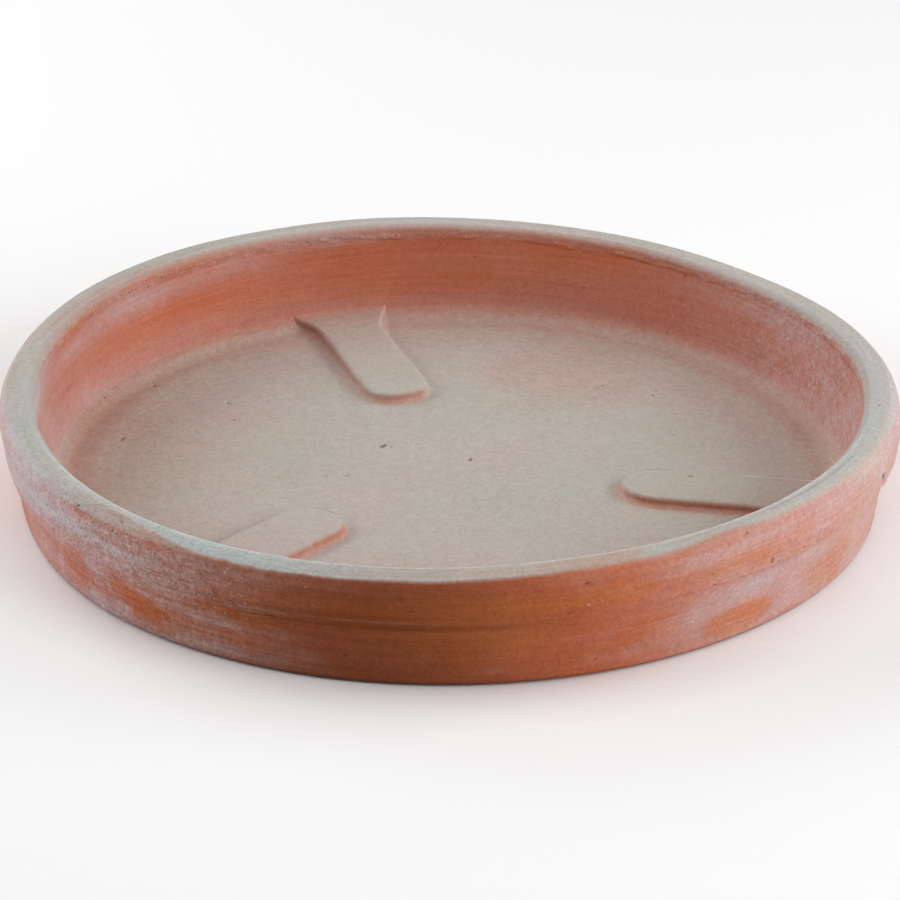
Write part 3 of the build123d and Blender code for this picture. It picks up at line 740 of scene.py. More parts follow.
# ---- side wall and collar -------------------------------------------------------------------
wall = ring_piece("clay_side_wall", ring_profile([
    (WALL_FOOT_R - 0.45, 0.0, FOOT_ROUND, 0.5, 0.62, OUTER),
    (WALL_STEP_R, STEP_Z, 0.0, 1, 1.3, OUTER),
    (TENON_R, STEP_Z, 0.0, 1, 4.0, HIDDEN),
    (TENON_TOP_R, TRIM_Z, 0.0, 1, 2.0, HIDDEN),
    (INNER_TOP_R + TRIM_CHAMFER, TRIM_Z, 0.0, 1, 0.35, TRIM),
    (INNER_TOP_R - TRIM_CHAMFER * math.tan(LEAN), TRIM_Z - TRIM_CHAMFER, 0.0, 1, 0.66, INNER),
    (INNER_FLOOR_R, FLOOR_T, CORNER_ROUND, 0.62, 1, INNER),
    (SLAB_R, FLOOR_T, 0.0, 1, 2.5, INNER),
    (SLAB_R, LAP_Z, 0.0, 1, 5.0, HIDDEN),
    (LAP_R, LAP_Z, 0.0, 1, 2.5, HIDDEN),
    (LAP_R, 0.0, 0.0, 1, 1.2, UNDER),
]), 714, wall_shape, wall_finish, 3)

band = ring_piece("clay_rim_band", ring_profile([
    (LIP_R, STEP_Z, LIP_ROUND, 0.28, 0.55, OUTER),
    (RIM_R, STEP_Z + 6.5, 12.0, 0.55, 0.55, OUTER),
    (RIM_R, HEIGHT - 1.0, 5.5, 0.42, 0.6, OUTER),
    (INNER_TOP_R + 6.0, HEIGHT, 6.0, 0.5, 0.6, TOP),
    (INNER_TOP_R + 0.7, HEIGHT - 0.25, 3.2, 0.4, 0.45, INNER),
    (INNER_TOP_R + TRIM_CHAMFER * math.tan(LEAN), TRIM_Z + TRIM_CHAMFER, 0.0, 1, 0.35, TRIM),
    (INNER_TOP_R + TRIM_CHAMFER, TRIM_Z, 0.0, 1, 2.0, TRIM),
    (TENON_TOP_R, TRIM_Z, 0.0, 1, 4.0, HIDDEN),
    (TENON_R, STEP_Z, 0.0, 1, 0.8, LIP),
]), 900, band_shape, band_finish, 3)


# ---- floor slab -------------------------------------------------------------------------------
def make_slab():
    n = 268
    g = np.linspace(-1, 1, n + 1)
    U, V = np.meshgrid(g, g, indexing="ij")
    wide = np.abs(U) > np.abs(V)
    with np.errstate(divide="ignore", invalid="ignore"):
        rad = np.where(wide, U, V)
        ang = np.where(wide, math.pi / 4 * V / U, math.pi / 2 - math.pi / 4 * U / V)
    ang = np.where(np.isfinite(ang), ang, 0.0)
    X, Y = SLAB_R * rad * np.cos(ang), SLAB_R * rad * np.sin(ang)
    gaps = np.array([outline_distance(X, Y, k) for k in RESTS])
    depth = gaps.max(0)
    r = np.hypot(X, Y)
    relief = floor_relief(X, Y, -depth)
    pocket = 2.0 * step(0.5, 2.0, depth) * (1 - step(141.0, 145.0, r))
    top = np.stack([X, Y, FLOOR_T + relief - pocket], -1).reshape(-1, 3)
    idx = np.arange((n + 1) ** 2).reshape(n + 1, n + 1)
    faces = np.stack([idx[:-1, :-1], idx[1:, :-1], idx[1:, 1:], idx[:-1, 1:]], -1).reshape(-1, 4)
    rim = np.concatenate([idx[n, :-1], idx[::-1, n][:-1], idx[0, ::-1][:-1], idx[:, 0][:-1]])
    verts, quads = [top], [faces]
    plan = top[:, :2] / SLAB_R * 0.325 + 0.34
    face_uv = [plan[faces]]
    th = np.arctan2(top[rim, 1], top[rim, 0])
    m = len(rim)
    count = len(top)
    last = rim
    edge_v = 0.0
    rows = [(SLAB_R, 6.8), (SLAB_R, LAP_Z), (153.0, LAP_Z), (LAP_R, LAP_Z), (LAP_R, 2.2), (LAP_R, 0.0)]
    tris, tri_uv = [], []
    for k, (rr, zz) in enumerate(rows):
        ring = np.stack([rr * np.cos(th), rr * np.sin(th), np.full(m, zz)], -1)
        new = np.arange(count, count + m)
        verts.append(ring)
        q = np.stack([last, new, np.roll(new, -1), np.roll(last, -1)], -1)
        quads.append(q)
        u0, u1 = np.arange(m) / m * 0.98 + 0.01, (np.arange(m) + 1) / m * 0.98 + 0.01
        v0, v1 = 0.70 + 0.008 * k, 0.70 + 0.008 * (k + 1)
        face_uv.append(np.stack([np.c_[u0, np.full(m, v0)], np.c_[u0, np.full(m, v1)], np.c_[u1, np.full(m, v1)], np.c_[u1, np.full(m, v0)]], 1))
        last, count = new, count + m
    radius = LAP_R
    segments = m
    angles = th
    while radius > 6:
        half = (segments % 2 == 0) and 2 * math.pi * radius / segments < 2.6 * 0.7 and segments > 60
        drop = min(max(2.2, 2 * math.pi * radius / segments * (2 if half else 1)), 5.0)
        radius = max(radius - drop, 5.0)
        na = angles[::2] if half else angles
        under = 0.05 + 0.05 * noise(radius * np.cos(na) / 8, radius * np.sin(na) / 8, radius / 3.0, 80)
        ring = np.stack([radius * np.cos(na), radius * np.sin(na), np.clip(under, 0, None) * step(0, 4, LAP_R - radius)], -1)
        new = np.arange(count, count + len(na))
        verts.append(ring)
        if half:
            a, b, c = last[::2], last[1::2], np.roll(last[::2], -1)
            e, f = new, np.roll(new, -1)
            tris += [np.stack([a, e, b], -1), np.stack([b, e, f], -1), np.stack([b, f, c], -1)]
        else:
            tris += [np.stack([last, new, np.roll(new, -1)], -1), np.stack([last, np.roll(new, -1), np.roll(last, -1)], -1)]
        last, count, angles, segments = new, count + len(na), na, len(na)
    verts.append(np.array([[0, 0, 0.05]]))
    tris.append(np.stack([last, np.full(len(last), count), np.roll(last, -1)], -1))
    verts = np.concatenate(verts)
    quads, tris = np.concatenate(quads), np.concatenate(tris)
    under_uv = verts[:, :2] / LAP_R * 0.12 + np.array([0.87, 0.87])
    uvs = np.concatenate([np.concatenate(face_uv).reshape(-1, 2), under_uv[tris].reshape(-1, 2)])
    p, q = verts[tris], verts[quads]
    volume = np.einsum("ij,ij->i", p[:, 0], np.cross(p[:, 1], p[:, 2])).sum()
    volume += np.einsum("ij,ij->i", q[:, 0], np.cross(q[:, 1], q[:, 2])).sum() + np.einsum("ij,ij->i", q[:, 0], np.cross(q[:, 2], q[:, 3])).sum()
    faces = quads.tolist() + tris.tolist()
    if volume < 0:
        faces = [f[::-1] for f in faces]
        uvs = np.concatenate([np.concatenate(face_uv)[:, ::-1].reshape(-1, 2), under_uv[tris[:, ::-1]].reshape(-1, 2)])
    masks = blank(len(verts))
    x, y, z = verts.T
    up = z > 6.0
    inside_masks(masks, x, y, np.full(len(x), FLOOR_T), up)
    near = np.zeros(len(x))
    for k in RESTS:
        t = math.radians(RESTS[k][0])
        across = x * math.sin(t) - y * math.cos(t) - RESTS[k][3]
        gap = np.minimum(outline_distance(x, y, k), 0)
        near = near + np.exp(-((gap / 4.0) ** 2)) * round_rest(across, RESTS[k][2] + SIDE_SPREAD, BESIDE[k])
    masks["film"] = np.where(up, masks["film"] * (1 - 0.30 * near), 0.10 + 0.05 * noise(x / 20, y / 20, 0.2, 81))
    masks["lilac"] = np.where(up, masks["lilac"], 0.3)
    masks["shade"] = np.where(up, masks["shade"], 0.25)
    marks = dents(x, y, FLOOR_PITS) * up
    # the floor's open pits are painted dark, as painted shade in the recesses
    masks["lime"], masks["hole"] = np.clip(marks / 0.4, 0, 0.8), np.clip(-marks / 0.42, 0, 0.95)
    return write_mesh("clay_base_slab", verts, faces, uvs, masks)


slab = make_slab()


# ---- pot rests ---------------------------------------------------------------------------------
SECTION = np.array([  # distance in from the outline, height over the floor: side with a hollow foot
    (-6.0, -0.07), (-4.9, -0.02), (-3.9, 0.05), (-3.1, 0.15), (-2.4, 0.30), (-1.8, 0.52), (-1.3, 0.80), (-0.9, 1.13), (-0.6, 1.48), (-0.35, 1.88),
    (-0.15, 2.32), (0.0, 2.78), (0.15, 3.24), (0.32, 3.64), (0.54, 3.97), (0.76, 4.14), (1.0, 4.26), (1.24, 4.34), (1.5, 4.39), (2.0, 4.44), (2.8, 4.49), (3.8, 4.50)])
ROLLED_SECTION = np.array([  # the same with a foot that is rolled outwards
    (-6.0, -0.07), (-5.0, -0.06), (-4.0, -0.06), (-3.0, -0.05), (-2.2, -0.03), (-1.95, 0.12), (-1.72, 0.42), (-1.46, 0.78), (-1.16, 1.12), (-0.86, 1.42),
    (-0.58, 1.74), (-0.33, 2.12), (-0.12, 2.62), (0.1, 3.20), (0.3, 3.66), (0.52, 3.98), (0.8, 4.19), (1.1, 4.31), (1.5, 4.39), (2.0, 4.44), (2.8, 4.49), (3.8, 4.50)])
FILL = 18


def make_rest(name, seed):
    _, _, half, shift, _, _ = RESTS[name]
    outline, centre = rest_rows(name)
    n = len(outline)
    to_mid = centre - outline
    reach = np.linalg.norm(to_mid, axis=1)
    unit = to_mid / reach[:, None]
    w = half + SIDE_SPREAD
    roll, bare, beside, scored, halo, shade_under_edge = (round_rest(outline[:, 0], w, table[name]) for table in (ROLLED, BARE, BESIDE, SCORED, HALO, SHADE_UNDER_EDGE))
    if name == "pot_rest_right":
        scored = scored * (1 - step(16.0, 30.0, outline[:, 1] - outline[:, 1].min()))
    s = [p + (q - p) * roll for p, q in zip(SECTION[:, 0], ROLLED_SECTION[:, 0])]
    h = [p + (q - p) * roll for p, q in zip(SECTION[:, 1], ROLLED_SECTION[:, 1])]
    for k in range(1, FILL + 1):
        s.append(SECTION[-1, 0] + (reach - SECTION[-1, 0]) * k / FILL)
        h.append(np.full(n, 4.5))
    s, h = np.stack(s, 1), np.stack(h, 1)
    h = np.where(h > 0, h * REST_H / 4.5, h) - 0.32 * scored[:, None] * np.exp(-(((s - 1.5) / 0.42) ** 2))
    K = s.shape[1]
    ay = outline[:, None, :] + unit[:, None, :] * s[..., None]
    # sides and end are a little uneven
    plan = to_plan(name, ay)
    wob = 0.35 * noise(plan[..., 0] / 14, plan[..., 1] / 14, seed, 90) + 0.15 * noise(plan[..., 0] / 4.5, plan[..., 1] / 4.5, seed, 91)
    side = np.exp(-((s - 0.4) / 2.2) ** 2)
    ay = ay + unit[:, None, :] * (wob * side)[..., None]
    plan = to_plan(name, ay)
    x, y = plan[..., 0], plan[..., 1]
    r = np.hypot(x, y)
    base = inside_height(r)
    relief = floor_relief(x, y, np.full(x.shape, 99.0))
    others = np.maximum(-s, 0)
    relief = relief - 0.42 * np.exp(-((others / 5.0) ** 2)) * step(2.0, -1.0, s)
    surface = 0.10 * noise(x / 12, y / 12, seed, 92) + 0.05 * noise(x / 3.1, y / 3.1, seed, 93) + 0.12 * noise(x / 26, y / 26, seed, 94)
    lift = np.maximum(h, 0)
    a = FLOOR_T + lift + surface * (lift / 4.5)
    k = 0.05 + 4.5 * np.clip(lift / 4.5, 0, 1)
    blend = np.maximum(k - np.abs(a - base), 0) / k
    corner = 1 - step(10.0, 17.0, base)
    z_top = np.maximum(a, base) + blend * blend * k / 4 + np.minimum(h, 0) + relief * corner - 0.9 * step(153.2, 156.2, r) ** 2
    d = outline_distance(x, y, name)
    pocket = 2.0 * step(0.5, 2.0, d) * (1 - step(141.0, 145.0, r))
    z_bot = base + floor_relief(x, y, -d) * corner - 0.14 * (1 - pocket / 2) - 0.985 * pocket - 0.9 * step(153.2, 156.2, r) ** 2
    # merge the two sides along the centre line
    m = np.arange(n)
    rows = (n - 64) // 2
    key = np.where(m < rows, m, np.where(m < rows + 64, rows - 1, n - 1 - m))
    ids = np.arange(n * K).reshape(n, K)
    ids[:, K - 1] = ids[key, K - 1]
    top = np.stack([x, y, z_top], -1).reshape(-1, 3)
    bot = np.stack([x, y, np.minimum(z_bot, z_top - 0.02)], -1).reshape(-1, 3)
    low = ids + n * K
    low[:, 0] = ids[:, 0]
    low[0, :] = ids[0, :]
    low[n - 1, :] = ids[n - 1, :]
    verts = np.concatenate([top, bot])
    run = np.concatenate([np.zeros((n, 1)), np.cumsum(np.hypot(np.diff(s, axis=1), np.diff(h, axis=1)), 1)], 1)
    flat = centre[:, None, :] - unit[:, None, :] * (run[:, -1:] - run)[..., None]
    lo, hi = flat.reshape(-1, 2).min(0), flat.reshape(-1, 2).max(0)
    size = (hi - lo).max()
    uv_top = (flat - lo) / size * 0.96 + 0.02
    uv_top = uv_top[..., ::-1] * np.array([1.0, 1.0])
    uv_low = uv_top * np.array([0.6, 0.6]) + np.array([0.02, 0.55])
    faces, uvs = [], []
    for sheet, uv, flip in ((ids, uv_top, False), (low, uv_low, True)):
        for i in range(n - 1):
            for j in range(K - 1):
                loop = [(sheet[i, j], uv[i, j]), (sheet[i + 1, j], uv[i + 1, j]), (sheet[i + 1, j + 1], uv[i + 1, j + 1]), (sheet[i, j + 1], uv[i, j + 1])]
                kept = []
                for v in loop:
                    if v[0] not in [q[0] for q in kept]:
                        kept.append(v)
                if len(kept) < 3:
                    continue
                if flip:
                    kept = kept[::-1]
                faces.append([int(v[0]) for v in kept])
                uvs += [v[1] for v in kept]
    used = np.unique(np.concatenate([np.array(f) for f in faces]))
    remap = np.full(len(verts), -1)
    remap[used] = np.arange(len(used))
    faces = [[int(remap[v]) for v in f] for f in faces]
    verts = verts[used]
    volume = 0.0
    for f in faces:
        for b, c in zip(f[1:-1], f[2:]):
            volume += verts[f[0]] @ np.cross(verts[b], verts[c])
    if volume < 0:
        out, at = [], 0
        for f in faces:
            out += uvs[at:at + len(f)][::-1]
            at += len(f)
        faces, uvs = [f[::-1] for f in faces], out
    masks = blank(len(verts))
    sv = np.concatenate([s.ravel(), s.ravel()])[used]
    px, py = verts[:, 0], verts[:, 1]
    pr = np.hypot(px, py)
    inside_masks(masks, px, py, np.maximum(inside_height(pr), np.where(pr > 147.0, verts[:, 2] - 3.0, 9.0)), np.ones(len(px), bool))
    roll, bare, beside, scored, halo, shade_under_edge = (np.tile(np.repeat(q, K), 2)[used] for q in (roll, bare, beside, scored, halo, shade_under_edge))
    rest_edge_highlight = np.tile(np.repeat(np.where((outline[:, 0] > 0.9 * w) & (name != "pot_rest_right"), 1.0, 0.0), K), 2)[used]
    flank = np.exp(-(((sv + 0.15) / (0.48 if name == "pot_rest_right" else 0.60)) ** 2))
    foot = np.exp(-(((sv + 1.1) / 0.8) ** 2)) * roll
    near = np.where(sv < 0, np.exp(-((np.minimum(sv, 0) / 4.0) ** 2)), 1 - step(0.1, 1.6, sv)) * beside
    masks["film"] = masks["film"] * (1 - 0.30 * near) * (1 - 0.52 * flank * bare) * (1 - 0.45 * foot * bare)
    masks["film"] = masks["film"] * (1 - halo * np.exp(-(((sv + 1.1) / 1.35) ** 2)))
    # painted shade on the steep side just under the top edge, more where the foot is rolled and bare
    masks["shade"] = masks["shade"] + (0.18 * bare * roll + shade_under_edge) * np.exp(-(((sv + 0.05) / 0.32) ** 2))
    # the floor's pits and the scored line along the edge are painted dark, as painted shade in the recesses
    marks = dents(px, py, FLOOR_PITS)
    line = scored * (0.86 if name == "pot_rest_left" else 1.0) * np.clip(0.92 + 0.35 * noise(px / 9, py / 9, 0.4, 95), 0, 1) * np.exp(-(((sv - 1.5) / (0.8 if name == "pot_rest_right" else 0.45)) ** 2))
    masks["lime"], masks["hole"] = np.clip(marks / 0.4, 0, 0.8), np.clip(np.maximum(-marks / 0.55, line), 0, 0.9)
    # painted highlight along the back rest's clockwise top edge
    masks["chalk"] = 0.30 * rest_edge_highlight * np.exp(-(((sv - 0.9) / 0.5) ** 2)) * (name == "pot_rest_back")
    if name == "pot_rest_right":
        # on the right rest's far side, a painted highlight along the top edge and a painted shadow line just inside it
        far = np.tile(np.repeat(np.where(outline[:, 0] < -0.9 * w, 1.0, 0.0), K), 2)[used]
        masks["chalk"] = far * step(112, 121, pr) * np.clip(0.85 + 0.5 * noise(px / 7, py / 7, 0.2, 96), 0, 1) * np.exp(-(((sv - 1.7) / 0.6) ** 2))
        masks["hole"] = np.maximum(masks["hole"], 0.72 * far * step(116, 124, pr) * np.exp(-(((sv - 2.85) / 0.6) ** 2)))
    masks["coarse"] = np.full(len(px), 0.8)
    return write_mesh("clay_" + name, verts, faces, np.array(uvs), masks)


rests = {name: make_rest(name, 3.0 + 2 * i) for i, name in enumerate(RESTS)}


# ---- material -----------------------------------------------------------------------------------
class Tree:
    """Short names for building a node tree."""

    def __init__(self, material):
        self.nodes, self.links = material.node_tree.nodes, material.node_tree.links

    def put(self, socket, value):
        if isinstance(value, bpy.types.NodeSocket):
            self.links.new(value, socket)
        elif isinstance(value, (tuple, list)) and len(value) == 3 and socket.type == "RGBA":
            socket.default_value = (*value, 1.0)
        else:
            socket.default_value = value

    def math(self, op, a, b=0.0, c=0.0, clamp=False):
        n = self.nodes.new("ShaderNodeMath")
        n.operation, n.use_clamp = op, clamp
        for i, v in enumerate((a, b, c)):
            self.put(n.inputs[i], v)
        return n.outputs[0]

    def mix(self, fac, a, b, mode="MIX"):
        n = self.nodes.new("ShaderNodeMix")
        n.data_type, n.blend_type, n.clamp_factor = "RGBA", mode, True
        self.put(n.inputs[0], fac)
        self.put(n.inputs[6], a)
        self.put(n.inputs[7], b)
        return n.outputs[2]

    def fit(self, x, lo, hi, to_lo=0.0, to_hi=1.0, kind="SMOOTHSTEP"):
        n = self.nodes.new("ShaderNodeMapRange")
        n.interpolation_type = kind
        for i, v in enumerate((x, lo, hi, to_lo, to_hi)):
            self.put(n.inputs[i], v)
        return n.outputs[0]

    def noise(self, vector, scale, detail=2.0, rough=0.5):
        n = self.nodes.new("ShaderNodeTexNoise")
        self.put(n.inputs["Vector"], vector)
        n.inputs["Scale"].default_value = scale
        n.inputs["Detail"].default_value = detail
        n.inputs["Roughness"].default_value = rough
        return n.outputs[0]

    def cells(self, vector, scale):
        n = self.nodes.new("ShaderNodeTexVoronoi")
        self.put(n.inputs["Vector"], vector)
        n.inputs["Scale"].default_value = scale
        return n.outputs["Distance"], n.outputs["Color"]

    def mask(self, name):
        n = self.nodes.new("ShaderNodeAttribute")
        n.attribute_name = name
        return n.outputs["Fac"]


def terracotta():
    mat = bpy.data.materials.new("terracotta")
    mat.use_nodes = True
    t = Tree(mat)
    shader = t.nodes["Principled BSDF"]
    at = t.nodes.new("ShaderNodeTexCoord").outputs["Object"]
    split = t.nodes.new("ShaderNodeSeparateXYZ")
    t.links.new(at, split.inputs[0])
    x, y, z = split.outputs
    r = t.math("SQRT", t.math("ADD", t.math("MULTIPLY", x, x), t.math("MULTIPLY", y, y)))
    q = t.math("MULTIPLY_ADD", z, 1.7, r)

    def streaks(across, along):
        n = t.nodes.new("ShaderNodeCombineXYZ")
        t.put(n.inputs[0], t.math("MULTIPLY", x, across))
        t.put(n.inputs[1], t.math("MULTIPLY", y, across))
        t.put(n.inputs[2], t.math("MULTIPLY", q, along))
        return t.noise(n.outputs[0], 1.0, 2.0, 0.55)

    blotch = t.noise(at, 34.0, 3.0, 0.55)
    mid = t.noise(at, 120.0, 3.0, 0.6)
    small = t.noise(at, 290.0, 2.0, 0.6)
    fine = t.noise(at, 620.0, 2.0, 0.6)
    grit = t.noise(at, 2100.0, 1.0, 0.5)
    wide_streak = streaks(9.0, 330.0)
    thin_streak = streaks(24.0, 900.0)
    film, lilac, cool, shade, mottle, lime, hole, chalk, coarse = (t.mask(n) for n in ("film", "lilac", "cool", "shade", "mottle", "lime", "hole", "chalk", "coarse"))
    ochre, strata, crust = (t.mask(n) for n in ("ochre", "strata", "crust"))
    off = lambda n: t.math("SUBTRACT", n, 0.5)

    # fired clay
    v = t.math("MULTIPLY_ADD", off(blotch), 0.9, 0.5)
    v = t.math("MULTIPLY_ADD", off(wide_streak), 0.34, v)
    v = t.math("MULTIPLY_ADD", off(thin_streak), 0.20, v)
    v = t.math("MULTIPLY_ADD", off(fine), 0.30, v)
    clay = t.mix(t.fit(v, 0.1, 0.5), (0.408, 0.098, 0.037), (0.476, 0.125, 0.053))
    clay = t.mix(t.fit(v, 0.5, 0.9), clay, (0.508, 0.168, 0.084))
    clay = t.mix(ochre, clay, t.mix(t.fit(v, 0.2, 0.8), (0.455, 0.118, 0.032), (0.510, 0.165, 0.062)))
    # painted shade and darker-fired clay: the clay is mixed toward dark brown by the shade mask
    clay = t.mix(shade, clay, t.mix(ochre, (0.185, 0.046, 0.015), (0.186, 0.038, 0.004)))
    # lime film, patchy where it thins out
    g = t.math("MULTIPLY_ADD", t.math("MULTIPLY", film, t.math("SUBTRACT", 1.0, film)), 4.0, 0.05)
    patchy = t.math("MULTIPLY", g, t.math("MULTIPLY_ADD", mottle, 1.0, 0.20))
    fv = t.math("MULTIPLY_ADD", off(mid), t.math("MULTIPLY", patchy, 0.40), film)
    fv = t.math("MULTIPLY_ADD", off(small), t.math("MULTIPLY", patchy, 0.50), fv)
    fv = t.math("MULTIPLY_ADD", off(fine), t.math("MULTIPLY", patchy, 0.55), fv)
    fv = t.math("MULTIPLY_ADD", off(wide_streak), t.math("MULTIPLY", g, t.math("MULTIPLY_ADD", strata, 0.24, t.math("MULTIPLY_ADD", mottle, 0.35, 0.12))), fv)
    fv = t.math("MULTIPLY_ADD", off(thin_streak), t.math("MULTIPLY", g, t.math("MULTIPLY_ADD", strata, 0.20, t.math("MULTIPLY", mottle, 0.20))), fv, True)
    crisp = t.math("SUBTRACT", t.fit(fv, 0.15, 0.85), fv)
    fv = t.math("MULTIPLY_ADD", crisp, t.math("MULTIPLY", mottle, 0.7), fv, True)
    pale = t.mix(blotch, (0.447, 0.402, 0.355), (0.464, 0.426, 0.385))
    pale = t.mix(t.fit(mid, 0.36, 0.64, 0.0, 0.5), pale, (0.434, 0.421, 0.368))
    tone = t.noise(at, 17.0, 2.0, 0.5)
    pale = t.mix(t.fit(tone, 0.48, 0.64, 0.0, 0.7), pale, (0.422, 0.418, 0.362))
    pale = t.mix(t.fit(tone, 0.52, 0.36, 0.0, 0.5), pale, (0.468, 0.404, 0.380))
    pale = t.mix(cool, pale, t.mix(mid, (0.375, 0.430, 0.408), (0.440, 0.490, 0.492)))
    pale = t.mix(t.math("MULTIPLY", lilac, 0.9), pale, t.mix(mid, (0.455, 0.385, 0.415), (0.505, 0.455, 0.485)))
    # the film is darkened the same way, as painted shade and darker clay
    pale = t.mix(t.math("MULTIPLY", shade, 0.85), pale, (0.25, 0.185, 0.155))
    colour = t.mix(fv, clay, pale)
    # fine grain, lime specks, dark grit, and open pits and scored lines painted dark as painted shade
    rub = t.math("MULTIPLY_ADD", off(fine), 0.36, t.math("MULTIPLY_ADD", off(grit), 0.40, t.math("MULTIPLY", off(small), 0.18)))
    grain = t.math("MULTIPLY_ADD", rub, coarse, 1.0)
    grain = t.math("MULTIPLY_ADD", off(thin_streak), t.math("MULTIPLY_ADD", film, -0.11, 0.14), grain)
    layers = t.math("MULTIPLY_ADD", off(wide_streak), 0.34, t.math("MULTIPLY", off(thin_streak), 0.26))
    grain = t.math("MULTIPLY_ADD", layers, strata, grain)
    n = t.nodes.new("ShaderNodeVectorMath")
    n.operation = "SCALE"
    t.put(n.inputs[0], colour)
    t.put(n.inputs["Scale"], grain)
    colour = n.outputs[0]
    d1, c1 = t.cells(at, 260.0)
    d2, c2 = t.cells(at, 190.0)
    pick1 = t.nodes.new("ShaderNodeSeparateColor")
    t.links.new(c1, pick1.inputs[0])
    pick2 = t.nodes.new("ShaderNodeSeparateColor")
    t.links.new(c2, pick2.inputs[0])
    rag = t.math("MULTIPLY", off(grit), 0.25)
    d3, c3 = t.cells(at, 640.0)
    pick3 = t.nodes.new("ShaderNodeSeparateColor")
    t.links.new(c3, pick3.inputs[0])
    ragged = t.math("MULTIPLY_ADD", rag, 3.4, d3)
    lime = t.math("MAXIMUM", t.math("MULTIPLY", t.fit(ragged, 0.38, 0.16), t.fit(t.math("MULTIPLY_ADD", lime, 0.7, pick3.outputs[0]), 1.0, 1.06)),
                  t.math("MULTIPLY", t.fit(t.math("ADD", d1, rag), 0.17, 0.05), t.fit(pick1.outputs[0], 0.985, 0.995, 0.0, 0.5)))
    specks = t.math("MULTIPLY", t.fit(ragged, 0.40, 0.20), t.fit(t.math("MULTIPLY_ADD", t.math("SUBTRACT", coarse, 1.0), 0.07, pick3.outputs[1]), 1.0, 1.06))
    pit_shade_and_grit = t.math("MAXIMUM", t.fit(t.math("ADD", hole, rag), 0.45, 0.95),
                 t.math("MULTIPLY", t.fit(t.math("ADD", d2, rag), 0.16, 0.05), t.fit(pick2.outputs[1], 0.955, 0.985, 0.0, 0.8)))
    pit_shade_and_grit = t.math("MAXIMUM", pit_shade_and_grit, t.math("MULTIPLY", specks, 0.75))
    # pale lines of film, and painted highlights along edges
    colour = t.mix(t.math("MULTIPLY", chalk, t.fit(fine, 0.3, 0.6, 0.55, 1.0)), colour, (0.64, 0.635, 0.62))
    # fine crumbs, pale and dark, in clusters
    d4, c4 = t.cells(at, 980.0)
    pick4 = t.nodes.new("ShaderNodeSeparateColor")
    t.links.new(c4, pick4.inputs[0])
    crumb = t.fit(t.math("MULTIPLY_ADD", off(grit), 0.9, d4), 0.52, 0.22)
    cluster = t.math("MULTIPLY", crust, t.fit(small, 0.42, 0.60, 0.25, 1.0))
    crumb_pale = t.math("MULTIPLY", crumb, t.fit(t.math("MULTIPLY_ADD", cluster, 0.46, pick4.outputs[0]), 1.0, 1.2))
    crumb_dark = t.math("MULTIPLY", crumb, t.fit(t.math("MULTIPLY_ADD", cluster, 0.34, pick4.outputs[1]), 1.0, 1.2))
    colour = t.mix(t.math("MULTIPLY", crumb_dark, 0.72), colour, (0.125, 0.048, 0.030))
    colour = t.mix(t.math("MULTIPLY", crumb_pale, 0.56), colour, (0.50, 0.44, 0.42))
    colour = t.mix(t.math("MULTIPLY", lime, 0.50), colour, (0.53, 0.47, 0.44))
    colour = t.mix(t.math("MULTIPLY", pit_shade_and_grit, 0.72), colour, (0.125, 0.046, 0.026))
    t.links.new(colour, shader.inputs["Base Color"])
    rough = t.math("MULTIPLY_ADD", fine, 0.12, t.math("MULTIPLY_ADD", fv, 0.06, 0.78), True)
    t.links.new(rough, shader.inputs["Roughness"])
    shader.inputs["Specular IOR Level"].default_value = 0.22
    height = t.math("MULTIPLY", t.math("MULTIPLY_ADD", grit, 0.35, t.math("MULTIPLY", fine, 0.8)), t.math("MULTIPLY_ADD", coarse, 0.5, 0.5))
    height = t.math("MULTIPLY_ADD", thin_streak, t.math("MULTIPLY_ADD", film, -0.4, 0.5), height)
    height = t.math("MULTIPLY_ADD", lime, 0.7, height)
    height = t.math("MULTIPLY_ADD", pit_shade_and_grit, -1.6, height)
    height = t.math("MULTIPLY_ADD", t.math("SUBTRACT", crumb_pale, crumb_dark), 0.7, height)
    bump = t.nodes.new("ShaderNodeBump")
    bump.inputs["Strength"].default_value = 0.45
    bump.inputs["Distance"].default_value = 0.00035
    t.links.new(height, bump.inputs["Height"])
    t.links.new(bump.outputs[0], shader.inputs["Normal"])
    return mat


clay_material = terracotta()
made = {"side_wall": wall, "rim_band": band, "base_slab": slab, **rests}
for node, piece in made.items():
    piece.data.materials.append(clay_material)
    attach(piece, "root")
    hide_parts(node)


# ---- floor, light and camera ----------------------------------------------------------------------
def plane(name, half):
    me = bpy.data.meshes.new(name)
    me.from_pydata([(-half, -half, 0), (half, -half, 0), (half, half, 0), (-half, half, 0)], [], [(0, 1, 2, 3)])
    ob = bpy.data.objects.new(name, me)
    bpy.context.scene.collection.objects.link(ob)
    return ob


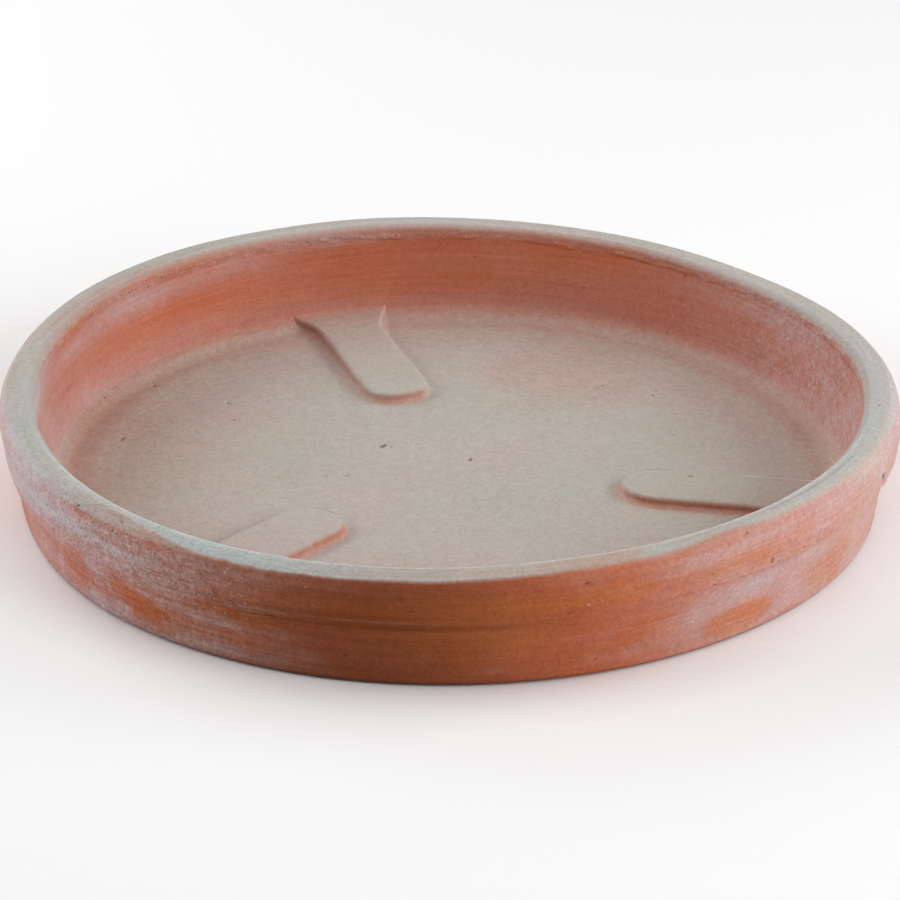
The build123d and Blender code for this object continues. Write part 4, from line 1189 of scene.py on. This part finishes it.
ground = plane("ground", 8.0)
ground.location.z = -0.0002
pale_floor = bpy.data.materials.new("pale_floor")
pale_floor.use_nodes = True
pale_floor.node_tree.nodes["Principled BSDF"].inputs["Base Color"].default_value = (0.90, 0.90, 0.90, 1)
pale_floor.node_tree.nodes["Principled BSDF"].inputs["Roughness"].default_value = 0.9
pale_floor.node_tree.nodes["Principled BSDF"].inputs["Specular IOR Level"].default_value = 0.1
ground.data.materials.append(pale_floor)


def toward(obj, target):
    d = np.array(target, float) - np.array(obj.location)
    flat = math.hypot(d[0], d[1])
    obj.rotation_euler = (math.pi / 2 + math.atan2(d[2], flat), 0.0, math.atan2(d[1], d[0]) - math.pi / 2)


def softbox(name, around, height, distance, width, tall, power, colour=(1, 1, 1)):
    """around: degrees anticlockwise from the right of the view, seen from above."""
    a = math.radians(around) - VIEW_TURN
    light = bpy.data.lights.new(name, "AREA")
    light.shape, light.size, light.size_y = "RECTANGLE", width, tall
    light.energy, light.color = power, colour
    ob = bpy.data.objects.new(name, light)
    ob.location = (distance * math.cos(a), distance * math.sin(a), height)
    bpy.context.scene.collection.objects.link(ob)
    toward(ob, (0, 0, 0.02))
    return ob


softbox("overhead", 90, 2.2, 0.0, 2.4, 2.4, 22.7)
softbox("right", 10, 0.75, 1.7, 1.2, 1.0, 18.4)
softbox("back_left", 135, 0.75, 1.7, 1.2, 1.0, 14.6)
softbox("left", 180, 0.75, 1.7, 1.2, 1.0, 16.6)
softbox("front_right", 325, 0.75, 1.7, 1.2, 1.0, 18.7)

world = bpy.data.worlds.new("studio")
world.use_nodes = True
world.node_tree.nodes["Background"].inputs[0].default_value = (1, 1, 1, 1)
world.node_tree.nodes["Background"].inputs[1].default_value = 0.02
bpy.context.scene.world = world
bpy.context.scene.view_settings.view_transform = "Standard"
bpy.context.scene.view_settings.look = "None"

el, away = math.radians(25.2), 2.1
camera = bpy.data.cameras.new("camera")
camera.sensor_width, camera.sensor_fit = 36.0, "HORIZONTAL"
camera.lens = 5331.6 * 36.0 / 900.0
camera.clip_start, camera.clip_end = 0.05, 60.0
view = bpy.data.objects.new("camera", camera)
view.location = (-away * math.sin(VIEW_TURN) * math.cos(el), -away * math.cos(VIEW_TURN) * math.cos(el), away * math.sin(el))
toward(view, (0.00048 * math.cos(VIEW_TURN), -0.00048 * math.sin(VIEW_TURN), 0.018))
bpy.context.scene.collection.objects.link(view)
bpy.context.scene.camera = view
